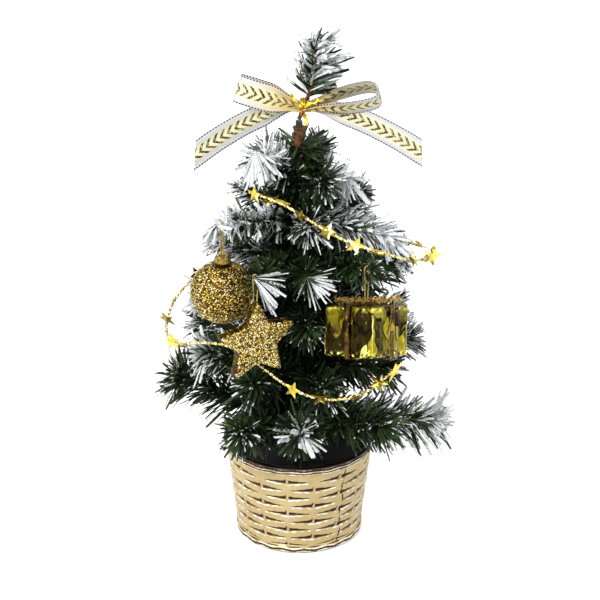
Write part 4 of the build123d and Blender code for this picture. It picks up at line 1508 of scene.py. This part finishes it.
@dataclass
class Bow:
    """Organza bow on the top twig: two loops, two tails through the knot, and a gold twist tie."""

    centre: Array = field(default_factory=lambda: np.array([2.1, -6.4, 258.0]))
    tail_depth: float = 3.6
    tail_lean: float = 16.0
    cloth: float = 0.12

    def ribbon_piece(self, name: str, runs: list[Ribbon]) -> bpy.types.Object:
        """Joins runs of ribbon, thickens them and gives them their cloth."""
        piece = Surface.join([run.surface() for run in runs]).to_object(name, ORGANZA)
        wall = piece.modifiers.new("cloth", "SOLIDIFY")
        wall.thickness = self.cloth * MM
        wall.offset = 0.0
        return piece

    def loop(self, side: int, reach: float, rise: float, depth: float, twist: float) -> Ribbon:
        """One loop: out along the back, round the end and home along the front.

        Args:
            side: -1 for the left loop and 1 for the right one.
            reach: How far the loop's end is from the knot.
            rise: Degrees by which it stands above the level.
            depth: Width of the loop's hollow.
            twist: Degrees by which the ribbon's width leans out of the upright.

        Returns:
            The loop's ribbon.
        """
        lift = math.radians(rise)
        out = np.array([side * math.cos(lift), 0.0, math.sin(lift)])
        stand = np.array([-side * math.sin(lift), 0.0, math.cos(lift)])
        lean = math.radians(twist)
        back = np.array([0.0, math.cos(lean), 0.0]) + stand * math.sin(lean)
        across = stand * math.cos(lean) - np.array([0.0, math.sin(lean), 0.0])
        plan = [(0, 0.9), (0.2, 1.6), (0.5, depth * 0.42), (0.8, depth * 0.52), (0.96, depth * 0.36),
                (1.0, 0.0), (0.95, -depth * 0.36), (0.78, -depth * 0.46), (0.5, -depth * 0.40),
                (0.2, -1.6), (0, -0.9)]
        knots = [self.centre + out * reach * share + back * off for share, off in plan]
        middle = curve_through(knots, 110)
        away = np.abs((middle - self.centre) @ out) / reach
        width = 5.5 + 9.8 * smooth_step(0.02, 0.55, away)
        gild = 0.8 * smooth_step(0.95, 0.05, away)
        return Ribbon(middle, np.broadcast_to(across, middle.shape), width, gild)

    def tail(self, side: int, span: float, drop: float, forward: float, slant: float) -> Ribbon:
        """One tail: out of the knot, over a low crown and down to its slanting cut.

        Args:
            side: -1 for the left tail and 1 for the right one.
            span: How far to the side its end is from the knot.
            drop: How far below the knot its end is.
            forward: How far in front of its start its end is.
            slant: How much longer one edge is cut than the other.

        Returns:
            The tail's ribbon.
        """
        start = self.centre + np.array([0.0, self.tail_depth, 0.0])
        plan = [(0, 0, 0), (0.2, 0.0, -0.06), (0.5, 0.15, -0.34), (0.78, 0.55, -0.68), (1.0, 1.0, -1.0)]
        knots = start + np.array(plan) * np.array([side * span, -forward, drop])
        middle = curve_through(knots, 90)
        along = unit(np.gradient(middle, axis=0))
        upright = unit(np.cross(np.array([0.0, side, 0.0]), along))
        lean = math.radians(self.tail_lean)
        across = upright * math.cos(lean) + np.array([0.0, math.sin(lean), 0.0])
        away = np.linspace(0, 1, len(middle))
        ripple = np.sin(away * 9.0 + side) * away * (1 - away)
        middle = middle + np.array([0.0, -1.0, 0.3]) * ripple[:, None]
        width = 6.0 + 9.4 * smooth_step(0.0, 0.4, away)
        gild = 0.5 * smooth_step(0.22, 0.02, away)
        return Ribbon(middle, across, width, gild, slant)

    def tie(self) -> Surface:
        """Twist tie: a flat foil strip wound round the knot and two curled ends standing up."""
        parts = []
        ends = (
            [(-1, -4.6, 2), (-2.5, -5.0, 5), (-5, -5.4, 7), (-6.5, -5, 10)],
            [(1, -4.6, 2), (3, -5.4, 4.5), (6, -6.0, 5), (8.5, -5.5, 7.5)],
            [(0.5, -4.6, -2), (2.2, -5.2, -4.5), (1.6, -5.4, -7.5)],
        )
        turn = around(8)
        for index, points in enumerate(ends):
            line = curve_through(self.centre + np.array(points), 30)
            spin = np.linspace(0, 5, len(line))[:, None]
            radius = 0.35 + 0.75 * np.abs(np.cos(turn - spin - index))
            parts.append(tube(line, radius, 8, reference=np.array([0.2, 1.0, 0.1])))
        angle = np.linspace(0, 2 * np.pi * 2.6, 140)
        ring = self.centre + np.stack(
            [(angle / 8.2 - 1.0) * 1.5, 1.4 - 3.7 * np.cos(angle), 4.6 * np.sin(angle)], axis=-1
        )
        strip = 0.4 + 0.45 * np.abs(np.cos(turn))
        parts.append(tube(ring, strip, 8, reference=np.array([1.0, 0.02, 0.0])))
        return Surface.join(parts)

    def build(self) -> None:
        """Makes the bow, puts it on the tree's body and hides the imported bow parts."""
        loops = [
            self.loop(-1, reach=37.0, rise=18.0, depth=9.0, twist=-14.0),
            self.loop(1, reach=42.0, rise=11.0, depth=11.0, twist=42.0),
        ]
        tails = [
            self.tail(-1, span=58.0, drop=26.0, forward=8.0, slant=-11.0),
            self.tail(1, span=64.0, drop=24.0, forward=8.0, slant=-8.0),
        ]
        for name, runs, node in (("ribbon_loops", loops, "bow_loops"), ("ribbon_tails", tails, "bow_tails")):
            piece = self.ribbon_piece(name, runs)
            declare(piece, TREE_BODY, "ribbon", node)
        declare(self.tie().to_object("twist_tie", TIE_FOIL), TREE_BODY, "tie_gold", "bow_tie")


# ---- ornaments
GRAIN_HALF_WIDTH = 0.5
GRAIN_TILT = 0.42


@dataclass
class GlitterBall:
    """Glitter ball with its crimped cap and thread."""

    radius: float = 17.2
    under_cap: float = 3.2
    crimps: int = 18
    count: int = 8200
    seed: int = 31

    def sphere(self) -> Surface:
        """Ball r (sin a cos b, sin a sin b, cos a) round its middle, closed at both poles."""
        angle = np.linspace(0.03, np.pi - 0.03, 72)[::-1, None]
        rings = turned(self.radius * np.sin(angle), self.radius * np.cos(angle), 144) + middle_of("ball")
        return closed(rings, tone=np.full(rings.shape[:2], 0.12))

    def cap(self) -> Surface:
        """Cap: a short cup whose skirt is crimped by cos(crimps a), under a flat top."""
        columns = 6 * self.crimps
        up = np.array([0.0, 0.1, 1.0, 2.4, 3.3, 3.8, 4.0, 4.0, 3.9, 3.2, 3.2, 0.1])[:, None]
        across = np.array([3.9, 4.25, 4.1, 4.0, 3.9, 3.6, 3.0, 1.9, 1.75, 1.75, 3.2, 3.6])[:, None]
        crimp = np.array([1.0, 1.0, 0.8, 0.5, 0.2, 0.1, 0, 0, 0, 0, 0.1, 1.0])[:, None]
        radius = across + 0.22 * crimp * np.cos(self.crimps * around(columns))
        place = np.array([*middle_of("ball_cap")[:2], box_of("ball_cap")[0][2]])
        points = turned(radius, up, columns).reshape(-1, 3) + place
        return Surface(points, lattice(len(up), columns, close_rows=True))

    def build(self) -> None:
        """Makes the ball and its cap, and finishes the thread."""
        chance = np.random.default_rng(self.seed)
        base = self.sphere()
        points, facing = scattered(base, self.count, chance)
        clear = (middle_of("ball_cap") - points) @ UP > self.under_cap
        glitter = grains(points[clear], facing[clear], GRAIN_HALF_WIDTH, GRAIN_TILT, chance)
        ball = Surface.join([base, glitter]).to_object("glitter_ball", GLITTER_GOLD, smooth=False)
        declare(ball, "ball", "glitter_gold", "ball")
        declare(self.cap().to_object("crimped_cap", BRASS), "ball", "cap_gold", "ball_cap")
        finish_node("ball_thread", THREAD)
        LOG.info("glitter ball: %d grains", int(clear.sum()))


@dataclass
class GlitterStar:
    """Thick star with soft points, covered with grains: thickly on its faces and thinly round its side."""

    radius: float = 23.4
    waist: float = 11.9
    thickness: float = 6.6
    facing: float = 300.0
    proud: float = 0.4
    count: int = 7500
    side_share: float = 0.35
    # Grains are a little lighter on the faces as painted light and darker round the side as painted shade.
    front_tone: float = 1.12
    side_tone: float = 0.45
    seed: int = 32

    def outline(self) -> Array:
        """Star outline in its own plane: ten corners joined by lines, then rounded by a moving mean."""
        corner = np.arange(11)
        angle = np.pi / 2 + corner * np.pi / 5
        reach = np.where(corner % 2 == 0, self.radius * 1.06, self.waist)
        place = np.linspace(0, 10, 400, endpoint=False)
        x = np.interp(place, corner, reach * np.cos(angle))
        y = np.interp(place, corner, reach * np.sin(angle))
        line = np.stack([x, y], axis=-1)
        padded = np.vstack([line[-13:], line, line[:13]])
        window = np.hanning(27)
        window = window / window.sum()
        return np.stack([np.convolve(padded[:, axis], window, "valid") for axis in (0, 1)], axis=-1)

    def body(self) -> Surface:
        """Rings of the outline scaled from the back's middle to the front's, softly crowned.

        The middle hangs 0.985 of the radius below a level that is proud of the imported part's top.
        """
        line = self.outline()
        half = self.thickness / 2
        rings = [(0.12, -half), (0.5, -half), (0.8, -half * 0.97), (0.93, -half * 0.9), (0.985, -half * 0.7),
                 (1.0, -half * 0.35), (1.0, half * 0.35), (0.985, half * 0.7), (0.93, half * 0.9),
                 (0.8, half * 0.97), (0.5, half), (0.12, half)]
        scale, depth = (np.array(column)[:, None] for column in zip(*rings))
        out = heading(self.facing)
        side = heading(self.facing + 90.0)
        flat_x, flat_y = scale * line[:, 0], scale * line[:, 1]
        low, high = box_of("glitter_star")
        middle = np.array([*((low + high) / 2)[:2], high[2] + self.proud - self.radius * 0.985])
        points = middle + flat_x[..., None] * side + flat_y[..., None] * UP + depth[..., None] * out
        # The side of the base is darker: partly its bare brown side and partly painted shade.
        edge = smooth_step(0.95, 1.0, scale + 0 * flat_x)
        return closed(points, tone=0.2 - 0.2 * edge)

    def build(self) -> None:
        """Makes the star, and finishes its thread."""
        chance = np.random.default_rng(self.seed)
        base = self.body()
        points, facing = scattered(base, self.count, chance)
        front = np.abs(facing @ heading(self.facing)) > 0.45
        kept = front | (chance.random(self.count) < self.side_share)
        glitter = grains(points[kept], facing[kept], GRAIN_HALF_WIDTH, GRAIN_TILT, chance)
        glitter.values["tone"] *= np.repeat(np.where(front[kept], self.front_tone, self.side_tone), 6)
        star = Surface.join([base, glitter]).to_object("glitter_star_body", GLITTER_GOLD, smooth=False)
        declare(star, "star", "glitter_board", "glitter_star")
        finish_node("star_thread", THREAD)
        LOG.info("glitter star: %d grains", int(kept.sum()))


@dataclass
class Gift:
    """Foil-wrapped gift with bands and a sprig of tinsel, leaning back from its thread."""

    carrier: float = 307.0
    side: float = 33.0
    height: float = 28.0
    yaw: float = -37.0
    lean: float = 22.0
    drop: float = 21.0
    edge: float = 1.6
    grid: int = 84
    band_width: float = 3.2
    crushed: float = 1.9
    pleated: float = 0.9
    sunk: float = 0.55
    end_crushed: float = 1.4
    strips: int = 520
    seed: int = 33

    def to_place(self, points: Array) -> Array:
        """Points from the gift's own axes, with its top's middle at zero, to the tree's."""
        yaw, lean = math.radians(self.yaw), math.radians(-self.lean)
        turn = np.array([[math.cos(yaw), -math.sin(yaw), 0], [math.sin(yaw), math.cos(yaw), 0], [0, 0, 1]])
        tip = np.array([[1, 0, 0], [0, math.cos(lean), -math.sin(lean)], [0, math.sin(lean), math.cos(lean)]])
        return points @ (tip @ turn).T + hanging_point(self.carrier) - UP * self.drop

    def cube_grid(self) -> Surface:
        """Six square grids of a cube of side two, each facing outwards."""
        share = np.linspace(-1, 1, self.grid)
        u, v = (part.ravel() for part in np.meshgrid(share, share, indexing="ij"))
        one = np.ones_like(u)
        faces = [(one, u, v), (-one, -u, v), (-u, one, v), (u, -one, v), (v, u, one), (-v, u, -one)]
        quads = lattice(self.grid, self.grid, close_columns=False)
        return Surface.join([Surface(np.stack(face, axis=-1), quads) for face in faces])

    def wrapped(self) -> Surface:
        """Box with rounded edges whose faces sink and rise by crushed folds and upright pleats."""
        cube = self.cube_grid()
        half = np.array([self.side / 2, self.side / 2, self.height / 2])
        core = np.clip(cube.points * half, -(half - self.edge), half - self.edge)
        normal = unit(cube.points * half - core)
        points = core + normal * self.edge
        fold = crumple(points, folds=7, pitch=13.0, seed=5) - 0.5
        across = points[:, 0] * 0.105 - points[:, 1] * 0.13 + 0.02 * points[:, 2]
        pleat = np.abs((across % 1.0) * 2 - 1) - 0.5
        upright = 1 - np.abs(normal[:, 2])
        lift = self.crushed * fold + self.pleated * pleat * upright - self.sunk
        low = smooth_step(-0.55 * self.height / 2, -self.height / 2, points[:, 2]) * upright
        lift = lift + low * self.end_crushed * (crumple(points, folds=5, pitch=5.0, seed=9) - 0.5)
        points = points + normal * lift[:, None]
        # crease: painted highlights on the rounded upright edges and on jagged bits near the top and bottom.
        rounded = smooth_step(0.06, 0.2, 1 - np.abs(normal).max(-1))
        bright = 0.9 * rounded * upright * (crumple(points, folds=4, pitch=9.0, seed=12) > 0.3)
        ends = smooth_step(0.7, 0.95, np.abs(points[:, 2]) / (self.height / 2)) * upright
        jagged = ends * smooth_step(0.5, 0.6, crumple(points, folds=5, pitch=6.0, seed=21))
        # tone: vertical streaks as painted reflections, and painted shade on the left-facing side.
        left = smooth_step(0.5, 0.9, -normal[:, 1])
        reflection_streaks = crumple(points * np.array([1.0, 1.0, 0.3]), folds=3, pitch=14.0, seed=15)
        tone = 0.5 * (reflection_streaks - 0.5) - 0.02 - 0.12 * left
        placed = self.to_place(points - np.array([0, 0, self.height / 2]))
        return Surface(placed, cube.quads, values={"crease": np.maximum(bright, jagged), "tone": tone})

    def band(self, crossing: bool, seed: int) -> Surface:
        """Band round the gift: a rectangle's line with a flat section that puckers and changes its width.

        Args:
            crossing: Whether it runs square to the first band.
            seed: Where its waves start.

        Returns:
            The closed band.
        """
        reach = self.side / 2 + 0.5
        corners = [(reach, 0.0), (reach, -self.height / 2), (reach, -self.height), (0, -self.height - 0.4),
                   (-reach, -self.height), (-reach, -self.height / 2), (-reach, 0), (0, 0.5)]
        knots = np.array(corners + corners[:1], float)
        place = np.linspace(0, 8, 241)[:-1]
        x, z = (np.interp(place, np.arange(9), knots[:, axis]) for axis in (0, 1))
        line = np.stack([x, 0 * x, z], axis=-1)
        out = unit(line - np.array([0, 0, -self.height / 2]))
        pucker = 0.4 * np.sin(place * 9.0 + seed) + 0.25 * np.sin(place * 21.0)
        half = self.band_width / 2 * (1 + 0.12 * np.sin(place * 6.3 + seed))
        section = np.array([(-1, -0.3), (1, -0.3), (0.96, 0.35), (0.33, 0.7), (-0.33, 0.25), (-0.96, 0.5)])
        wide = section[None, :, 0] * half[:, None]
        deep = section[None, :, 1] * 0.6 + pucker[:, None] * 0.5 * (1 - np.abs(section[None, :, 0])) + 0.35
        points = line[:, None] + wide[..., None] * np.array([0, 1.0, 0]) + deep[..., None] * out[:, None]
        points = points.reshape(-1, 3)
        if crossing:
            points = points[:, [1, 0, 2]] * np.array([-1.0, 1.0, 1.0])
        return Surface(self.to_place(points), lattice(240, 6, close_rows=True))

    def tinsel(self, chance: np.random.Generator) -> NeedleBed:
        """Short foil strips all round a thin line across the gift's top."""
        route = [(-16.0, -7.0, 1.8), (-7.0, -2.0, 1.9), (5.0, 5.0, 2.3), (15.0, 13.0, 3.2)]
        line = self.to_place(curve_through(route, 160))
        count = self.strips
        index = chance.integers(0, len(line) - 1, count)
        along, across, lifted = (part[index] for part in path_frames(line))
        turn = chance.uniform(0, 2 * np.pi, (count, 1))
        radial = across * np.cos(turn) + lifted * np.sin(turn)
        direction = unit(radial + 0.5 * along * chance.normal(size=(count, 1)))
        side = unit(np.cross(direction, along) + 0.4 * chance.normal(size=(count, 3)))
        side = square_to(direction, side)
        still = np.zeros(count)
        return NeedleBed(
            line[index], direction, side, chance.uniform(1.2, 2.6, count), chance.uniform(0.35, 0.7, count),
            np.zeros((count, 3)), still, still,
        )

    def build(self) -> None:
        """Makes the wrapped gift, its bands and its tinsel, and finishes what shows of the rest."""
        chance = np.random.default_rng(self.seed)
        foil = self.wrapped().to_object("wrapped_gift", GIFT_FOIL, smooth=False)
        weld(foil)
        crossed = Surface.join([self.band(False, 1), self.band(True, 4)])
        bands = crossed.to_object("gift_bands", BAND_FOIL, smooth=False)
        sprig = self.tinsel(chance).surface().to_object("tinsel_sprig", TINSEL_FOIL, smooth=False)
        declare(foil, "gift", "foil_gold", "gift_foil")
        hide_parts("gift_block")
        declare(bands, "gift", "ribbon_foil", "gift_ribbon")
        declare(sprig, "gift", "tinsel", "gift_tinsel")
        finish_node("gift_thread", THREAD)
        LOG.info("gift: %d points", len(foil.data.vertices))


def weld(piece: bpy.types.Object) -> None:
    """Merges doubled points along the seams of a piece."""
    shape = bmesh.new()
    shape.from_mesh(piece.data)
    bmesh.ops.remove_doubles(shape, verts=shape.verts, dist=1e-6)
    bmesh.ops.recalc_face_normals(shape, faces=shape.faces)
    shape.to_mesh(piece.data)
    shape.free()


# ---- garland
@dataclass(frozen=True)
class FoilStar:
    """One foil star on the garland: share of the way along, size, roll about the cord, tone and tilt."""

    share: float
    radius: float
    roll: float
    tone: float = 0.3
    tilt: float = 0.0


@dataclass
class Garland:
    """Twisted foil cord round the tree with foil stars."""

    route: tuple = (
        (-26, -30, 219), (-12, -42, 220), (3, -50, 214), (18, -56, 206), (32, -57, 200), (45, -52, 194),
        (58, -40, 184), (68, -22, 176), (73, 0, 169), (70, 26, 162), (54, 50, 155), (28, 67, 149),
        (-2, 72, 146), (-32, 65, 142), (-56, 47, 137), (-71, 24, 130), (-75, -2, 122), (-67, -24, 125),
        (-52, -36, 133), (-35, -43, 134), (-20, -51, 126), (-6, -64, 120), (10, -71, 116), (27, -71, 116),
        (42, -64, 120), (54, -50, 126),
    )
    stars: tuple[FoilStar, ...] = tuple(FoilStar(*row) for row in (
        (0.008, 5.0, 0), (0.026, 5.5, 110, -0.2), (0.040, 4.5, -100), (0.062, 4.5, 20, -0.2),
        (0.092, 5.0, -25, -0.1), (0.122, 5.5, 10, 0.3), (0.146, 4.5, 70, 0.1), (0.200, 5.0, -30, -0.15),
        (0.240, 5.0, 60, -0.2), (0.272, 7.0, 20, 0.1, 70), (0.330, 5.0, -40), (0.375, 5.5, 30, 0.0),
        (0.420, 4.5, -20), (0.465, 6.0, 50, -0.1), (0.510, 5.0, 0), (0.555, 5.0, -50),
        (0.600, 5.5, 20, -0.2), (0.645, 4.5, -30), (0.672, 6.0, 30, -0.2, -65), (0.722, 5.5, 10, 0.3, -40),
        (0.742, 5.0, 80, -0.1), (0.880, 5.0, 0, 0.2), (0.908, 5.5, -60, -0.25), (0.945, 4.5, 60, -0.15),
        (0.970, 5.5, -50, -0.1), (0.992, 7.0, 20, 0.3),
    ))
    radius: float = 0.6
    length: float = 553.5
    pitch: float = 3.4
    star_waist: float = 0.45
    star_lift: float = 0.9

    def line(self) -> Array:
        """Points of the smooth line that takes the route's points as its control points."""
        curve = bpy.data.curves.new("garland_line", "CURVE")
        curve.dimensions = "3D"
        spline = curve.splines.new("NURBS")
        spline.points.add(len(self.route) - 1)
        controls = np.hstack([np.array(self.route, float) * MM, np.ones((len(self.route), 1))])
        spline.points.foreach_set("co", controls.ravel())
        spline.order_u = 3
        spline.use_endpoint_u = True
        spline.resolution_u = 24
        holder = bpy.data.objects.new("garland_line", curve)
        mesh = bpy.data.meshes.new_from_object(holder)
        points = np.zeros(len(mesh.vertices) * 3)
        mesh.vertices.foreach_get("co", points)
        bpy.data.objects.remove(holder)
        bpy.data.curves.remove(curve)
        bpy.data.meshes.remove(mesh)
        return points.reshape(-1, 3) / MM

    def cord(self, line: Array) -> Surface:
        """Two foil strands wound together, with two beads to a pitch.

        Radius r (1.15 + 0.34 cos(2a - 2 pi s / pitch) + 0.2 cos(4 pi s / pitch)) at a run s and an angle a.

        Args:
            line: Points of the cord's middle line.

        Returns:
            The cord.
        """
        fine, run, turn = wound(line, 0.42, 10)
        strands = 0.34 * np.cos(2 * turn - 2 * np.pi * run / self.pitch)
        beads = 0.2 * np.cos(2 * np.pi * run / (self.pitch / 2))
        return tube(fine, self.radius * (1.15 + strands + beads), 10)

    def star_surface(self, line: Array, star: FoilStar) -> Surface:
        """Foil star with a raised middle and creased rays, facing away from the trunk.

        Args:
            line: Points of the cord's middle line.
            star: The star's place, size and turn.

        Returns:
            The closed star, with its tone.
        """
        run = np.linspace(0, 1, len(line))
        point = np.array([np.interp(star.share, run, line[:, axis]) for axis in range(3)])
        along = unit(np.gradient(line, axis=0))[int(star.share * (len(line) - 1))]
        outward = square_to(along, point * np.array([1.0, 1.0, 0.0]))
        other = np.cross(along, outward)
        roll, tilt = math.radians(star.roll), math.radians(star.tilt)
        rolled = outward * math.cos(roll) + other * math.sin(roll)
        facing = rolled * math.cos(tilt) - along * math.sin(tilt)
        along = along * math.cos(tilt) + rolled * math.sin(tilt)
        side = np.cross(facing, along)
        step = np.arange(10)
        beside = (step + 1) % 10
        angle = np.pi / 2 + step * np.pi / 5 + 0.5 * star.roll
        reach = np.where(step % 2 == 0, star.radius, star.radius * self.star_waist)
        flat = np.stack([reach * np.cos(angle), reach * np.sin(angle), np.zeros(10)], axis=-1)
        front = np.vstack([flat + [0, 0, 0.12], [[0, 0, self.star_lift]]])
        back = np.vstack([flat - [0, 0, 0.12], [[0, 0, self.star_lift - 0.3]]])
        local = np.vstack([front, back])
        tris = np.vstack([
            np.stack([np.full(10, 10), step, beside], axis=-1),
            np.stack([np.full(10, 21), 11 + beside, 11 + step], axis=-1),
        ])
        quads = np.stack([step, 11 + step, 11 + beside, beside], axis=-1)
        axes = np.stack([along, side, facing])
        tone = np.full(22, star.tone)
        return Surface(point + facing * (self.radius + 0.5) + local @ axes, quads, tris, {"tone": tone})

    def build(self) -> None:
        line = resampled(self.line(), 0.5)
        cord = self.cord(line).to_object("garland_strand", CORD_FOIL)
        stars = Surface.join([self.star_surface(line, star) for star in self.stars])
        foil = stars.to_object("garland_foil_stars", STAR_FOIL, smooth=False)
        declare(cord, TREE_BODY, "garland_gold", "garland_cord")
        declare(foil, TREE_BODY, "star_foil", "garland_stars")
        LOG.info("garland: %.1f mm along its line", path_length(line))


# ---- studio
@dataclass(frozen=True)
class Softbox:
    """One square lamp: where it stands, how wide it is, its power in watts and its tint."""

    name: str
    place: Triple
    size: float
    power: float
    tint: Triple = (1.0, 1.0, 1.0)


@dataclass
class Studio:
    """Camera, lamps, white surroundings and the floor, in metres."""

    eye: Triple = (0.0175, -1.6, 0.907)
    target: Triple = (0.0005, 0.0, 0.1411)
    lens: float = 192.8
    sensor: float = 36.0
    ambient: float = 0.30
    lit_point: Triple = (0.0, 0.0, 0.15)
    floor_half_width: float = 6.0
    floor_drop: float = 0.00005
    floor_white: float = 0.88
    floor_glow: float = 0.46
    lamps: tuple[Softbox, ...] = (
        Softbox("key", (-0.75, -1.05, 1.15), 0.45, 25.0, (1.0, 0.99, 0.96)),
        Softbox("fill", (1.05, -0.85, 0.7), 0.7, 5.0, (0.97, 0.98, 1.0)),
        Softbox("back", (0.25, 0.95, 1.25), 0.7, 10.0),
    )

    @staticmethod
    def aim(thing: bpy.types.Object, target: Triple) -> None:
        """Turns a lamp or camera to look at a point."""
        thing.rotation_euler = (Vector(target) - thing.location).to_track_quat("-Z", "Y").to_euler()

    def camera(self) -> None:
        """Places the camera without shift or depth of field."""
        lens = bpy.data.cameras.new("camera")
        lens.lens, lens.sensor_width = self.lens, self.sensor
        camera = new_object("camera", lens)
        camera.location = self.eye
        self.aim(camera, self.target)
        bpy.context.scene.camera = camera

    def light(self) -> None:
        """Hangs the softboxes, each aimed at the middle of the tree."""
        for box in self.lamps:
            lamp = bpy.data.lights.new(box.name, "AREA")
            lamp.energy, lamp.size, lamp.color = box.power, box.size, box.tint
            holder = new_object(box.name, lamp)
            holder.location = box.place
            self.aim(holder, self.lit_point)

    @staticmethod
    def seen(nodes: Nodes) -> Socket:
        """One for a ray from the camera, or one that a gloss or glass passed on."""
        path = nodes.add("LightPath")
        seen = nodes.math("MAXIMUM", path.outputs["Is Camera Ray"], path.outputs["Is Glossy Ray"])
        return nodes.math("MAXIMUM", seen, path.outputs["Is Transmission Ray"])

    def surroundings(self) -> None:
        """White to the eye and to gloss, and a plain ambient for everything else."""
        world = bpy.data.worlds.new("studio")
        bpy.context.scene.world = world
        world.use_nodes = True
        nodes = Nodes(world.node_tree)
        level = nodes.add("MapRange", {"Value": self.seen(nodes), "To Min": self.ambient, "To Max": 1.0})
        glow = nodes.add("Background", {"Color": (1.0, 1.0, 1.0, 1.0), "Strength": level.outputs[0]})
        nodes.add("OutputWorld", {"Surface": glow.outputs[0]})

    def floor(self) -> None:
        """Wide white floor, a hair below the pot, that keeps a soft shadow and meets the surroundings."""
        wide, low = self.floor_half_width, -self.floor_drop
        corners = [(-wide, -wide, low), (wide, -wide, low), (wide, wide, low), (-wide, wide, low)]
        made = bpy.data.materials.new("white_floor")
        made.use_nodes = True
        nodes = Nodes(made.node_tree)
        matte = nodes.add("BsdfDiffuse", {"Color": (self.floor_white,) * 3 + (1.0,)})
        glow = nodes.add("Emission", {"Strength": nodes.times(self.seen(nodes), self.floor_glow)})
        both = nodes.add("AddShader", {0: matte.outputs[0], 1: glow.outputs[0]})
        nodes.add("OutputMaterial", {"Surface": both.outputs[0]})
        mesh = bpy.data.meshes.new("floor")
        mesh.from_pydata(corners, [], [(0, 1, 2, 3)])
        mesh.materials.append(made)
        new_object("floor", mesh)

    def build(self) -> None:
        """Sets the camera, lamps, world and floor."""
        bpy.context.scene.view_settings.view_transform = "Standard"
        self.camera()
        self.light()
        self.surroundings()
        self.floor()


# ---- assembly
def main() -> None:
    """Builds the studio, the garland and every other piece."""
    logging.basicConfig(level=logging.INFO, format="%(name)s %(message)s")
    works = (Studio, Garland, Pot, BranchWork, LeaderWork, Bow, GlitterBall, GlitterStar, Gift)
    for work in works:
        LOG.info("building %s", work.__name__)
        work().build()


if __name__ == "__main__":
    main()
